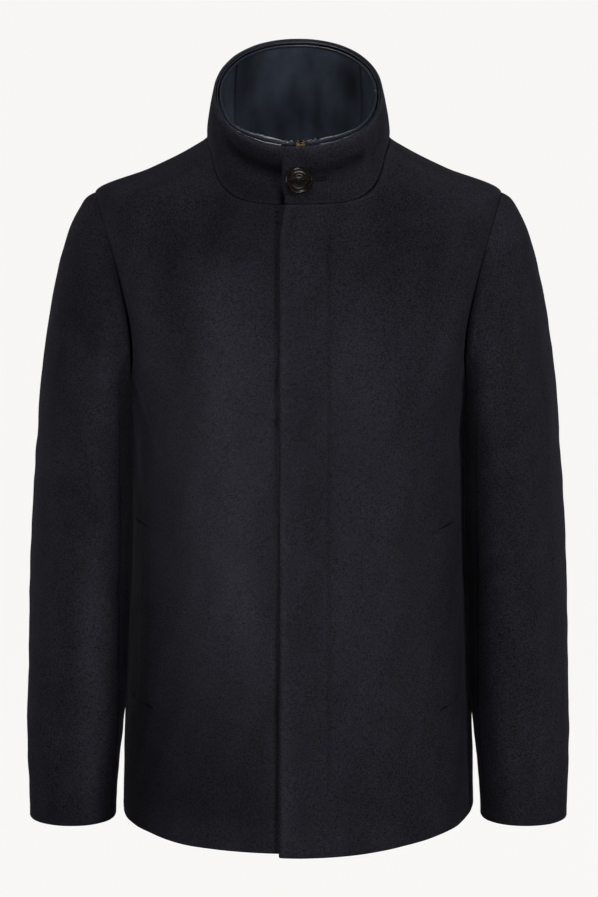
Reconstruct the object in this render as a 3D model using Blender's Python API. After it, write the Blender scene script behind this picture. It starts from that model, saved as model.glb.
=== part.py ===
"""A short wool coat with a hidden front, filled out as worn, with nobody in it.

Metres, +Z up. +X is the wearer's left, and the front faces -Y. The origin is the
middle of the neck opening, at the height where the shoulder seams meet the collar.
"""
import bisect
import math
from collections import namedtuple

import bmesh
import bpy
import numpy as np
from mathutils import Matrix, Vector

# Cloth and sewing
WALL = 0.0026                # wool cloth with its backing
LINING_WALL = 0.0015         # smooth cloth inside the collar
SEAM_GAP = 0.0003            # between two pieces that are sewn together
LAP_GAP = 0.0010             # between the two fronts where they lap

# Body
SHOULDER_DROP = 0.0588       # shoulder point below the neck point
UNDERARM_DROP = 0.272
HEM_SIDE = 0.725             # hem below the neck point, at the side seams
FRONT_NOTCH = 26.5           # degrees that the armhole is cut into the front
BACK_NOTCH = 28.0
LAP_EDGE = -0.0208           # edge of the left front, across the middle
LAP_CORNER = 0.0045          # the lap's top corner is eased back by this much
LAP_UNDER = 0.029            # the right front reaches this far under the left
LAP_FLAT = 0.032             # the left front lies lifted up to here, at the fly stitch
LAP_FADE = 0.085             # and has come down to the body here

# Grid of the body panels, in rows up the body and columns across a panel
ROWS_TO_UNDERARM = 13
ROWS_TO_NECK = 20
ROWS = 28
COLUMNS = 10

# Sleeves
BICEPS_DROP = 0.305          # where the sleeve head ends and the tube begins
CUFF_DROP = 0.7330
HEAD_ROWS = 7
TUBE_ROWS = 11
FRONT_SEAM_ROW = 10          # armhole row, from the shoulder, of the front sleeve seam
BACK_SEAM_ROW = 9

# Collar
RIM_HALF_WIDTH = 0.0885
RIM_FRONT = (-0.0830, 0.0006)     # depth and height of the rim, centre front
RIM_BACK = (0.0750, 0.0964)
COLLAR_ROWS = 5
COLLAR_BULGE = 0.0020
INNER_SET = 0.0069           # inner collar behind the outer face
INNER_BELOW = 0.40           # how far it runs on below the neckline, in collar heights
INNER_TOP = 0.885
INNER_FRONT_RISE = 0.125     # its edge stands this much higher at the front
INNER_SEAM_TURN = 131.0      # seams between its back and its two sides
PIPE_RADIUS = 0.0012
BINDING_HALF_WIDTH = 0.0015
BINDING_HALF_HEIGHT = 0.0028
FOLD_HALF_WIDTH = 0.0021     # the binding's folded ends beside the zip
FOLD_HALF_HEIGHT = 0.0034
FOLD_RISE = {1: 0.045, -1: 0.085}      # above the binding, on the left and on the right

# Zip, with sizes across it counted from its middle
ZIP_ACROSS = 0.0030          # middle of the zip, across the collar
ZIP_INSET = 0.0054           # middle of its slider, behind the collar's outer face
SLIDER_UP = 1.025            # middle of the slider, up the collar
LINING_FROM_ZIP = 0.0112     # the inner collar ends here
FOLD_FROM_ZIP = (0.0095, 0.0220)
TRIM_FROM_ZIP = 0.0226       # piping and binding end here
TAPE_FROM_ZIP = (0.0009, 0.0130)
TAPE_UP = (-0.38, 0.910)
TAPE_WALL = 0.0010
SLIDER_HALF_DEPTH = 0.0022
SLOT_HALF_DEPTH = 0.0007     # the slot at both sides that the tapes pass through
CHANNEL = (0.0025, 0.0013)   # half width and half depth of the channel for the teeth
SLOT_TOP = 0.0026
BAIL_HALF_WIDTH = 0.0007
PULL_AXIS = 0.0032           # hinge of the pull behind the middle of the slider
PULL_HALF_WALL = 0.0006
PULL_EYE = (0.00135, -0.0050, -0.0006)      # half width, bottom and top

# Button
BUTTON_RADIUS = 0.0140
BUTTON_HOLE_RADIUS = 0.0010
BUTTON_HOLE_OFFSET = 0.0022
BUTTON_ACROSS = 0.0007
BUTTON_HEIGHT = 0.42         # up the collar, 0 to 1

# Pocket welts, with the span across the body at the two ends of each
WELT_TOP = 0.4020
WELT_BOTTOM = 0.5940
WELT_WALL = 0.0013
Welt = namedtuple("Welt", "top bottom")
WELTS = {
    1: Welt((0.1437, 0.1623), (0.1515, 0.1682)),
    -1: Welt((0.1520, 0.1698), (0.1574, 0.1741)),
}

# How much lower each front hangs at its edge, and how soon that dip spreads to the side
HemDip = namedtuple("HemDip", "amount power")
LEFT_DIP = HemDip(0.0191, 1.75)
RIGHT_DIP = HemDip(0.0152, 0.75)
BACK_DIP = HemDip(0.0060, 2.0)

Ring = namedtuple("Ring", "height half_width front back square")
BODY_RINGS = (
    Ring(-0.790, 0.1915, 0.152, 0.136, 2.30),
    Ring(-0.725, 0.1905, 0.151, 0.135, 2.30),
    Ring(-0.620, 0.1877, 0.149, 0.131, 2.30),
    Ring(-0.500, 0.1840, 0.147, 0.127, 2.32),
    Ring(-0.400, 0.1800, 0.145, 0.126, 2.35),
    Ring(-0.300, 0.1785, 0.142, 0.128, 2.38),
    Ring(-0.250, 0.1830, 0.139, 0.127, 2.36),
    Ring(-0.200, 0.1910, 0.133, 0.124, 2.32),
    Ring(-0.150, 0.2020, 0.124, 0.118, 2.25),
    Ring(-0.100, 0.2110, 0.110, 0.109, 2.12),
    Ring(-0.078, 0.2138, 0.103, 0.103, 2.06),
    Ring(-0.0588, 0.2144, 0.0955, 0.098, 2.00),
    Ring(-0.034, 0.1577, 0.0825, 0.089, 2.00),
    Ring(-0.013, 0.1155, 0.0690, 0.081, 2.00),
    Ring(0.000, 0.0960, 0.0600, 0.076, 2.00),
    Ring(0.020, 0.0850, 0.0500, 0.074, 2.00),
)

NeckRow = namedtuple("NeckRow", "height across drop")    # height holds the turn, in degrees
NECKLINE = (
    NeckRow(0.0, 0.0000, 0.0580),
    NeckRow(25.0, 0.0400, 0.0565),
    NeckRow(42.0, 0.0620, 0.0515),
    NeckRow(56.0, 0.0775, 0.0410),
    NeckRow(70.0, 0.0860, 0.0265),
    NeckRow(80.0, 0.0905, 0.0125),
    NeckRow(90.0, 0.0960, 0.0000),
    NeckRow(110.0, 0.0905, -0.0020),
    NeckRow(135.0, 0.0680, -0.0050),
    NeckRow(180.0, 0.0000, -0.0080),
)

Section = namedtuple("Section", "height across depth half_width half_depth lean twist")
SLEEVE_SECTIONS = (
    Section(-0.760, 0.2440, -0.031, 0.0460, 0.0460, 0.000, 36.0),
    Section(-0.7330, 0.2440, -0.030, 0.0465, 0.0465, 0.000, 34.0),
    Section(-0.680, 0.2427, -0.026, 0.0486, 0.0490, 0.004, 28.0),
    Section(-0.610, 0.2395, -0.019, 0.0517, 0.0520, 0.010, 19.0),
    Section(-0.520, 0.2372, -0.015, 0.0502, 0.0560, 0.017, 9.0),
    Section(-0.455, 0.2351, -0.010, 0.0495, 0.0590, 0.020, 4.0),
    Section(-0.390, 0.2322, -0.006, 0.0484, 0.0620, 0.021, 1.0),
    Section(-0.305, 0.2286, -0.004, 0.0462, 0.0660, 0.020, 0.0),
)

# How the sleeve leaves the armhole and reaches the tube, at its top, sides and underarm
HeadRow = namedtuple("HeadRow", "start_length end_length across depth height")
SLEEVE_HEAD = {
    "top": HeadRow(0.033, 0.150, 0.91, 0.00, -0.42),
    "side": HeadRow(0.040, 0.055, 0.62, 0.22, -0.75),
    "under": HeadRow(0.008, 0.008, 0.12, 0.00, -0.99),
}

# The largest soft folds. A ridge has a positive depth, and a trough a negative one.
Fold = namedtuple("Fold", "angle height half_length half_width depth lean")
BODY_FOLDS = (
    Fold(-25.0, -0.430, 0.230, 0.030, 0.0026, 2.0),
    Fold(-44.0, -0.520, 0.170, 0.026, -0.0026, -4.0),
    Fold(32.0, -0.500, 0.210, 0.032, 0.0024, 3.0),
    Fold(47.0, -0.430, 0.150, 0.024, -0.0022, 5.0),
    Fold(150.0, -0.470, 0.220, 0.034, 0.0032, -3.0),
    Fold(172.0, -0.560, 0.150, 0.030, -0.0028, 2.0),
    Fold(205.0, -0.430, 0.200, 0.034, 0.0030, 4.0),
)
SLEEVE_FOLDS = {
    1: (
        Fold(62.0, -0.312, 0.036, 0.011, -0.0034, 46.0),
        Fold(40.0, -0.330, 0.036, 0.014, 0.0022, 46.0),
        Fold(265.0, -0.410, 0.030, 0.014, -0.0030, -40.0),
    ),
    -1: (
        Fold(58.0, -0.205, 0.036, 0.011, -0.0034, 42.0),
        Fold(70.0, -0.390, 0.034, 0.013, -0.0026, 50.0),
        Fold(268.0, -0.400, 0.030, 0.014, -0.0030, -42.0),
    ),
}

# Outlines of the zip's brass pieces, right half, from the bottom up
Outline = namedtuple("Outline", "across up")
SLIDER_OUTLINE = (
    Outline(0.0026, -0.0060),
    Outline(0.0036, -0.0050),
    Outline(0.0048, 0.0032),
    Outline(0.0044, 0.0052),
    Outline(0.0026, 0.0060),
    Outline(0.0010, 0.0052),
)
PULL_OUTLINE = (
    Outline(0.0012, -0.0275),
    Outline(0.0024, -0.0268),
    Outline(0.0030, -0.0250),
    Outline(0.0024, -0.0100),
    Outline(0.0023, 0.0002),
    Outline(0.0019, 0.0006),
)
# The bail that the pull hangs on, seen from the side: its lower half, from foot to middle
Bend = namedtuple("Bend", "up out")
BAIL_OUTER = (Bend(-0.0038, -0.0020), Bend(-0.0038, -0.0042), Bend(-0.0028, -0.0054))
BAIL_INNER = (Bend(-0.0026, -0.0020), Bend(-0.0026, -0.0037), Bend(-0.0022, -0.0042))

Finish = namedtuple("Finish", "colour roughness metallic")
FINISHES = {
    "navy_wool": Finish((0.0125, 0.0135, 0.0180), 0.95, 0.0),
    "collar_lining": Finish((0.0140, 0.0200, 0.0300), 0.80, 0.0),
    "edge_piping": Finish((0.0080, 0.0095, 0.0130), 0.35, 0.0),
    "zip_tape": Finish((0.0070, 0.0080, 0.0105), 0.75, 0.0),
    "brass": Finish((0.5200, 0.3900, 0.1900), 0.32, 1.0),
    "horn": Finish((0.0240, 0.0170, 0.0130), 0.25, 0.0),
}


def clear_scene():
    for item in list(bpy.data.objects):
        bpy.data.objects.remove(item, do_unlink=True)


def make_materials():
    made = {}
    for name, finish in FINISHES.items():
        material = bpy.data.materials.new(name)
        material.use_nodes = True
        shader = material.node_tree.nodes["Principled BSDF"]
        shader.inputs["Base Color"].default_value = (*finish.colour, 1.0)
        shader.inputs["Roughness"].default_value = finish.roughness
        shader.inputs["Metallic"].default_value = finish.metallic
        made[name] = material
    return made


def unit(vector):
    return vector / np.linalg.norm(vector)


def smooth_step(low, high, value):
    part = min(max((value - low) / (high - low), 0.0), 1.0)
    return part * part * (3.0 - 2.0 * part)


def slopes_of(table, column):
    """Slope at each row of a table, flat where the values turn."""
    steps = []
    for low, high in zip(table, table[1:]):
        steps.append((getattr(high, column) - getattr(low, column)) / (high.height - low.height))
    slopes = [steps[0]]
    for before, after in zip(steps, steps[1:]):
        same_way = before * after > 0.0
        slopes.append(2.0 * before * after / (before + after) if same_way else 0.0)
    slopes.append(steps[-1])
    return slopes


def table_curve(table, column):
    """A smooth curve through one column of a table, against its height column."""
    heights = [row.height for row in table]
    values = [getattr(row, column) for row in table]
    slopes = slopes_of(table, column)

    def curve(height):
        index = min(max(bisect.bisect_right(heights, height) - 1, 0), len(heights) - 2)
        span = heights[index + 1] - heights[index]
        part = (height - heights[index]) / span
        part2, part3 = part * part, part * part * part
        return (
            (2 * part3 - 3 * part2 + 1) * values[index]
            + (part3 - 2 * part2 + part) * span * slopes[index]
            + (3 * part2 - 2 * part3) * values[index + 1]
            + (part3 - part2) * span * slopes[index + 1]
        )

    return curve


BODY = {column: table_curve(BODY_RINGS, column) for column in Ring._fields[1:]}
NECK = {column: table_curve(NECKLINE, column) for column in NeckRow._fields[1:]}
SLEEVE = {column: table_curve(SLEEVE_SECTIONS, column) for column in Section._fields[1:]}


def squared(angle, square):
    """Sine and cosine of a rounded square: an ellipse at 2, boxier above."""
    sine, cosine = math.sin(angle), math.cos(angle)
    reach = (abs(sine) ** square + abs(cosine) ** square) ** (-1.0 / square)
    return sine * reach, cosine * reach


def body_point(angle, height):
    """The coat's outer face. The angle is 0 at centre front and 90 at the wearer's left side."""
    across, ahead = squared(math.radians(angle), BODY["square"](height))
    depth = BODY["front"](height) if ahead >= 0.0 else BODY["back"](height)
    return np.array((BODY["half_width"](height) * across, -depth * ahead, height))


def body_normal(angle, height):
    around = body_point(angle + 0.2, height) - body_point(angle - 0.2, height)
    upward = body_point(angle, height + 0.0004) - body_point(angle, height - 0.0004)
    return unit(np.cross(around, upward))


def angle_at(across, height):
    """Angle, from 0 to 90, at which the front reaches this far across."""
    goal = abs(across) / BODY["half_width"](height)
    low, high = 0.0, 90.0
    if goal >= 1.0:
        return math.copysign(high, across)
    while high - low > 1e-5:
        middle = (low + high) / 2.0
        if squared(math.radians(middle), BODY["square"](height))[0] < goal:
            low = middle
        else:
            high = middle
    return math.copysign((low + high) / 2.0, across)


def fold_depth(folds, angle, height, radius):
    """How far the folds move the cloth out at this place."""
    total = 0.0
    for fold in folds:
        turn = (angle - fold.angle + 180.0) % 360.0 - 180.0
        across, along = math.radians(turn) * radius, height - fold.height
        lean = math.radians(fold.lean)
        side = across * math.cos(lean) + along * math.sin(lean)
        end = along * math.cos(lean) - across * math.sin(lean)
        total += fold.depth * math.exp(-((side / fold.half_width) ** 2) - (end / fold.half_length) ** 4)
    return total


def lap_lift(across):
    """How far the left front and the left end of the collar lie out over the right ones."""
    return (WALL + LAP_GAP) * (1.0 - smooth_step(LAP_FLAT, LAP_FADE, across))


def add_object(name, vertices, faces, material):
    mesh = bpy.data.meshes.new(name)
    mesh.from_pydata([tuple(point) for point in vertices], [], faces)
    shaped = bmesh.new()
    shaped.from_mesh(mesh)
    bmesh.ops.recalc_face_normals(shaped, faces=shaped.faces)
    shaped.to_mesh(mesh)
    shaped.free()
    mesh.shade_smooth()
    mesh.set_sharp_from_angle(angle=math.radians(50.0))
    mesh.materials.append(material)
    made = bpy.data.objects.new(name, mesh)
    bpy.context.collection.objects.link(made)
    return made


def add_wall(name, outer, inner, faces, material):
    """A closed wall between two like sheets of points, with its rim filled in."""
    count = len(outer)
    used = {}
    for face in faces:
        for start, end in zip(face, face[1:] + face[:1]):
            used[(start, end)] = True
    rim = [edge for edge in used if (edge[1], edge[0]) not in used]
    shell = [tuple(face) for face in faces]
    shell += [tuple(index + count for index in reversed(face)) for face in faces]
    shell += [(end, start, start + count, end + count) for start, end in rim]
    return add_object(name, list(outer) + list(inner), shell, material)


def grid_faces(rows, columns):
    faces = []
    for row in range(rows - 1):
        for column in range(columns - 1):
            corner = row * columns + column
            faces.append([corner, corner + 1, corner + columns + 1, corner + columns])
    return faces


def add_grid(name, outer, normals, wall, material):
    rows, columns = outer.shape[:2]
    inner = outer - wall * normals
    faces = grid_faces(rows, columns)
    return add_wall(name, outer.reshape(-1, 3), inner.reshape(-1, 3), faces, material)


def pull_in(points, edge, inside, amount=SEAM_GAP / 2.0):
    """Draws an edge back into its panel by half a seam gap."""
    for place, towards in zip(edge, inside):
        points[place] = points[place] + amount * unit(points[towards] - points[place])


def pull_in_sides(points, sides):
    rows, columns = points.shape[:2]
    if "bottom" in sides:
        pull_in(points, [(0, c) for c in range(columns)], [(1, c) for c in range(columns)])
    if "top" in sides:
        pull_in(points, [(rows - 1, c) for c in range(columns)], [(rows - 2, c) for c in range(columns)])
    if "first" in sides:
        pull_in(points, [(r, 0) for r in range(rows)], [(r, 1) for r in range(rows)])
    if "last" in sides:
        pull_in(points, [(r, columns - 1) for r in range(rows)], [(r, columns - 2) for r in range(rows)])


def neck_place(turn):
    """Angle and height, on the body, of the neckline at this turn from centre front."""
    across, height = NECK["across"](abs(turn)), -NECK["drop"](abs(turn))
    angle = angle_at(across, height)
    if abs(turn) > 90.0:
        angle = 180.0 - angle
    return math.copysign(angle, turn), height


def even_turns(first, last, count):
    """Turns that are evenly spaced along the neckline."""
    fine = np.linspace(first, last, 241)
    points = np.array([body_point(*neck_place(turn)) for turn in fine])
    along = np.concatenate(([0.0], np.cumsum(np.linalg.norm(np.diff(points, axis=0), axis=1))))
    return np.interp(np.linspace(0.0, along[-1], count + 1), along, fine)


def armhole_place(turn, back):
    """Angle and height of the armhole, which turns from 0 at the shoulder to 180 at the underarm."""
    sine, cosine = math.sin(math.radians(turn)), math.cos(math.radians(turn))
    middle = -(SHOULDER_DROP + UNDERARM_DROP) / 2.0
    height = middle + (UNDERARM_DROP - SHOULDER_DROP) / 2.0 * cosine
    cut = max(sine, 0.0) ** 0.8
    if back:
        return 90.0 + BACK_NOTCH * cut * (1.0 + 0.05 * cosine), height
    return 90.0 - FRONT_NOTCH * cut * (1.0 - 0.12 * cosine), height


ARMHOLE_TURNS = np.linspace(180.0, 0.0, ROWS - ROWS_TO_UNDERARM + 1)
NECK_ROWS = ROWS - ROWS_TO_NECK
QUARTER_TURNS = even_turns(0.0, 90.0, NECK_ROWS - 1)     # front neckline, from its middle
REAR_TURNS = even_turns(90.0, 180.0, NECK_ROWS)


def hem_height(angle, dip):
    return -HEM_SIDE - dip.amount * abs(math.cos(math.radians(angle))) ** dip.power


def side_line(back):
    """The side seam and the armhole above it, from the hem to the shoulder point."""
    line = []
    for row in range(ROWS_TO_UNDERARM):
        line.append((90.0, -HEM_SIDE + (HEM_SIDE - UNDERARM_DROP) * row / ROWS_TO_UNDERARM))
    return line + [armhole_place(turn, back) for turn in ARMHOLE_TURNS]


def middle_line(edge, turns):
    """The front or back edge and the neckline above it, from the hem to the neck point."""
    neck = [neck_place(turn) for turn in turns]
    line = []
    for row in range(ROWS_TO_NECK):
        height = -HEM_SIDE + (neck[0][1] + HEM_SIDE) * row / ROWS_TO_NECK
        line.append((edge(height), height))
    return line + neck


def panel_places(middle, sides, dip):
    """Angle and height at each row and column of a panel, between its two long edges."""
    places = np.zeros((ROWS + 1, COLUMNS + 1, 2))
    for row, (inner, outer) in enumerate(zip(middle, sides)):
        for column in range(COLUMNS + 1):
            part = column / COLUMNS
            places[row, column] = (1.0 - part) * np.array(inner) + part * np.array(outer)
    for column in range(COLUMNS + 1):
        sag = hem_height(places[0, column, 0], dip) - places[0, column, 1]
        for row in range(ROWS_TO_UNDERARM):
            places[row, column, 1] += sag * (1.0 - row / ROWS_TO_UNDERARM) ** 2
    return places


def body_sheet(places, side, lifted=False):
    """Points and normals of a body panel, on the wearer's left (1) or right (-1)."""
    points = np.zeros(places.shape[:2] + (3,))
    normals = np.zeros_like(points)
    for row, column in np.ndindex(places.shape[:2]):
        angle, height = places[row, column]
        normal = body_normal(angle, height)
        out = fold_depth(BODY_FOLDS, side * angle, height, 0.16)
        point = body_point(angle, height)
        if lifted:
            out += lap_lift(point[0])
        points[row, column] = (point + out * normal) * (side, 1, 1)
        normals[row, column] = normal * (side, 1, 1)
    return points, normals


def neck_turn(across):
    """Turn of the front neckline that lies this far across."""
    fine = np.linspace(0.0, 90.0, 361)
    return math.copysign(np.interp(abs(across), [NECK["across"](turn) for turn in fine], fine), across)


def add_front(name, side, across, eased, dip, material):
    turns = [neck_turn(across + eased), *QUARTER_TURNS]
    corner = neck_place(turns[0])[1]

    def edge(height):
        return angle_at(across + eased * math.exp(-((height - corner) / 0.02) ** 2), height)

    middle = middle_line(edge, turns)
    places = panel_places(middle, side_line(False), dip)
    points, normals = body_sheet(places, side, lifted=side > 0)
    pull_in_sides(points, ("top", "first", "last"))
    pull_in(points, [(ROWS_TO_NECK, 0)], [(ROWS_TO_NECK - 1, 0)])
    return add_grid(name, points, normals, WALL, material)


def add_back(name, material):
    middle = middle_line(lambda height: 180.0, REAR_TURNS[::-1])
    places = panel_places(middle, side_line(True), BACK_DIP)
    outer, inner, faces, index = [], [], [], {}
    for side in (1, -1):
        points, normals = body_sheet(places, side)
        pull_in_sides(points, ("top", "last"))
        above = range(ROWS_TO_NECK + 1, ROWS + 1)
        pull_in(points, [(row, 0) for row in above], [(row, 1) for row in above])
        pull_in(points, [(ROWS_TO_NECK, 0)], [(ROWS_TO_NECK - 1, 0)])
        for row, column in np.ndindex(points.shape[:2]):
            shared = column == 0 and row <= ROWS_TO_NECK
            if shared and side < 0:
                index[(side, row, column)] = index[(1, row, column)]
                continue
            index[(side, row, column)] = len(outer)
            outer.append(points[row, column])
            inner.append(points[row, column] - WALL * normals[row, column])
        for row, column in np.ndindex(ROWS, COLUMNS):
            around = ((row, column), (row, column + 1), (row + 1, column + 1), (row + 1, column))
            face = [index[(side, *place)] for place in around]
            faces.append(face if side > 0 else face[::-1])
    return add_wall(name, outer, inner, faces, material)


def tube_point(turn, height):
    """The sleeve below its head. The turn is 0 at the outside, 90 in front, 180 inside."""
    sine, cosine = squared(math.radians(turn + SLEEVE["twist"](height)), 2.15)
    across = SLEEVE["across"](height) + SLEEVE["half_width"](height) * cosine
    across -= SLEEVE["lean"](height) * sine
    return np.array((across, SLEEVE["depth"](height) - SLEEVE["half_depth"](height) * sine, height))


def head_mix(turn):
    """Start and end lengths and the start direction of the sleeve head at this turn."""
    sine, cosine = math.sin(math.radians(turn)), math.cos(math.radians(turn))
    shares = {"top": max(cosine, 0.0) ** 2, "side": sine ** 2, "under": max(-cosine, 0.0) ** 2}
    mixed = sum(share * np.array(SLEEVE_HEAD[name]) for name, share in shares.items())
    direction = np.array((mixed[2], -math.copysign(mixed[3], sine), mixed[4]))
    return mixed[0], mixed[1], unit(direction)


def sleeve_point(turn, along):
    """The sleeve's outer face, from the armhole (0) past the biceps (1) to the cuff (2)."""
    biceps = -BICEPS_DROP
    if along >= 1.0:
        return tube_point(turn, biceps - (along - 1.0) * (CUFF_DROP - BICEPS_DROP))
    back = turn > 180.0
    angle, height = armhole_place(360.0 - turn if back else turn, back)
    start = body_point(angle, height) + SEAM_GAP * body_normal(angle, height)
    end = tube_point(turn, biceps)
    start_length, end_length, direction = head_mix(turn)
    end_direction = unit(tube_point(turn, biceps - 0.01) - end)
    first, last = start + start_length * direction, end - end_length * end_direction
    rest = 1.0 - along
    return (
        rest ** 3 * start + 3 * rest ** 2 * along * first
        + 3 * rest * along ** 2 * last + along ** 3 * end
    )


def sleeve_normal(turn, along):
    low, high = max(along - 0.004, 0.0), max(along + 0.004, 0.008)
    around = sleeve_point(turn + 0.2, along) - sleeve_point(turn - 0.2, along)
    downward = sleeve_point(turn, high) - sleeve_point(turn, low)
    normal = unit(np.cross(around, downward))
    if along > 0.0:
        return normal
    back = turn > 180.0
    panel = body_normal(*armhole_place(360.0 - turn if back else turn, back))
    return panel if np.dot(normal - panel, downward) > 0.0 else normal


SLEEVE_STEPS = [row / HEAD_ROWS for row in range(HEAD_ROWS)]
SLEEVE_STEPS += [1.0 + row / TUBE_ROWS for row in range(TUBE_ROWS + 1)]


def add_sleeve_piece(name, side, turns, material):
    points = np.zeros((len(SLEEVE_STEPS), len(turns), 3))
    normals = np.zeros_like(points)
    for row, along in enumerate(SLEEVE_STEPS):
        for column, turn in enumerate(turns):
            normal = sleeve_normal(turn, along)
            point = sleeve_point(turn, along)
            out = fold_depth(SLEEVE_FOLDS[side], turn, point[2], 0.055) if along > 0.0 else 0.0
            points[row, column] = (point + out * normal) * (side, 1, 1)
            normals[row, column] = normal * (side, 1, 1)
    pull_in_sides(points, ("bottom", "first", "last"))
    return add_grid(name, points, normals, WALL, material)


def add_sleeves(materials):
    front = ARMHOLE_TURNS[::-1]
    back = 360.0 - ARMHOLE_TURNS
    around = np.concatenate((front, back[1:]))
    count = len(front) - 1
    upper = [turn - 360.0 for turn in back[count - BACK_SEAM_ROW:-1]] + list(front[:FRONT_SEAM_ROW + 1])
    under = list(around[FRONT_SEAM_ROW:2 * count - BACK_SEAM_ROW + 1])
    upper = [turn % 360.0 for turn in upper]
    for side, word in ((1, "left"), (-1, "right")):
        add_sleeve_piece("upper_sleeve_" + word, side, upper, materials["navy_wool"])
        add_sleeve_piece("under_sleeve_" + word, side, under, materials["navy_wool"])


def rim_point(turn):
    angle = math.radians(turn)
    middle = (np.array(RIM_FRONT) + np.array(RIM_BACK)) / 2.0
    reach = (np.array(RIM_BACK) - np.array(RIM_FRONT)) / 2.0
    sine, cosine = squared(angle, 2.15)
    depth, height = middle - reach * cosine
    return np.array((RIM_HALF_WIDTH * sine, depth, height))


def rim_turn(turn):
    """Turn around the rim that stands over this turn of the neckline."""
    base = body_point(*neck_place(turn))
    middle = (RIM_FRONT[0] + RIM_BACK[0]) / 2.0
    return math.degrees(math.atan2(base[0] / RIM_HALF_WIDTH, (middle - base[1]) / (RIM_BACK[0] - middle)))


def collar_point(turn, up):
    """The collar's outer face, from the neckline (0) to the rim (1), and on in a straight line."""
    turn = (turn + 180.0) % 360.0 - 180.0
    base, rim = body_point(*neck_place(turn)), rim_point(rim_turn(turn))
    bulge = COLLAR_BULGE * math.sin(math.pi * min(max(up, 0.0), 1.0))
    out = unit(np.array((base[0], base[1] - 0.005, 0.0)))
    return base + up * (rim - base) + bulge * out


def collar_normal(turn, up):
    around = collar_point(turn + 0.5, up) - collar_point(turn - 0.5, up)
    upward = collar_point(turn, up + 0.02) - collar_point(turn, up - 0.02)
    return unit(np.cross(around, upward))


def collar_face(turn, up, inset):
    return collar_point(turn, up) - inset * collar_normal(turn, up)


HALF_TURNS = [*QUARTER_TURNS, *REAR_TURNS[1:]]
COLLAR_TURNS = [-turn for turn in HALF_TURNS] + [turn - 360.0 for turn in HALF_TURNS[-2::-1]]


def turns_between(first, last):
    """The collar's own turns between two others, so that all its layers run alike."""
    inside = [turn for turn in COLLAR_TURNS if last + 1.0 < turn < first - 1.0]
    return [first, *inside, last]


def turns_from_zip(clear):
    """First and last turn of a layer that stops this far from the zip, on both its sides."""
    return neck_turn(ZIP_ACROSS - clear), neck_turn(ZIP_ACROSS + clear) - 360.0


def add_collar(name, material):
    """One piece from its right end, under the left one, round the back to its left end."""
    turns = [neck_turn(LAP_UNDER), *COLLAR_TURNS, neck_turn(LAP_EDGE + LAP_CORNER) - 360.0]
    points = np.zeros((COLLAR_ROWS + 1, len(turns), 3))
    normals = np.zeros_like(points)
    for row, column in np.ndindex(points.shape[:2]):
        turn, up = turns[column], row / COLLAR_ROWS
        normal = collar_normal(turn, up)
        point = collar_point(turn, up)
        if turn < -270.0:
            out = (1.0 - up) * body_normal(*neck_place(turn + 360.0)) + up * normal
            point = point + lap_lift(point[0]) * unit(out)
        points[row, column], normals[row, column] = point, normal
    pull_in_sides(points, ("bottom",))
    return add_grid(name, points, normals, WALL, material)


def inner_top(turn):
    return INNER_TOP + INNER_FRONT_RISE * math.cos(math.radians(turn) / 2.0) ** 2


def add_inner_collar(materials):
    first, last = turns_from_zip(LINING_FROM_ZIP)
    stretches = {
        "inner_collar_right": (first, -INNER_SEAM_TURN),
        "inner_collar_back": (-INNER_SEAM_TURN, INNER_SEAM_TURN - 360.0),
        "inner_collar_left": (INNER_SEAM_TURN - 360.0, last),
    }
    for name, ends in stretches.items():
        turns = turns_between(*ends)
        points = np.zeros((COLLAR_ROWS + 1, len(turns), 3))
        normals = np.zeros_like(points)
        for row, column in np.ndindex(points.shape[:2]):
            turn = turns[column]
            up = -INNER_BELOW + (inner_top(turn) + INNER_BELOW) * row / COLLAR_ROWS
            points[row, column] = collar_face(turn, up, INNER_SET)
            normals[row, column] = collar_normal(turn, up)
        pull_in_sides(points, ("top", "first", "last"))
        add_grid(name, points, normals, LINING_WALL, materials["collar_lining"])


def add_cord(name, path, ups, outs, sizes, material):
    """A cord along a path, closed at both ends. A size is its half width and half height."""
    sides = 8
    points, faces = [], []
    for place, upward, outward, (half_width, half_height) in zip(path, ups, outs, sizes):
        for step in range(sides):
            angle = 2.0 * math.pi * step / sides
            offset = half_width * math.cos(angle) * outward + half_height * math.sin(angle) * upward
            points.append(place + offset)
    for row in range(len(path) - 1):
        for step in range(sides):
            near, after = row * sides + step, row * sides + (step + 1) % sides
            faces.append((near, after, after + sides, near + sides))
    faces.append(tuple(range(sides)))
    faces.append(tuple(len(points) - sides + step for step in range(sides)))
    return add_object(name, points, faces, material)


def rim_path(inset, rise, turns):
    """Points along the collar's rim, with their up and out directions."""
    path, ups, outs = [], [], []
    for turn in turns:
        up = rise(turn)
        out = collar_normal(turn, up)
        path.append(collar_face(turn, up, inset))
        upward = collar_point(turn, 1.0) - collar_point(turn, 0.0)
        ups.append(unit(upward - np.dot(upward, out) * out))
        outs.append(out)
    return path, ups, outs


def binding_rise(turn):
    """How far up the collar the binding runs, just above the inner collar's edge."""
    tall = np.linalg.norm(collar_point(turn, 1.0) - collar_point(turn, 0.0))
    return inner_top(turn) + (BINDING_HALF_HEIGHT + SEAM_GAP) / tall


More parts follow.
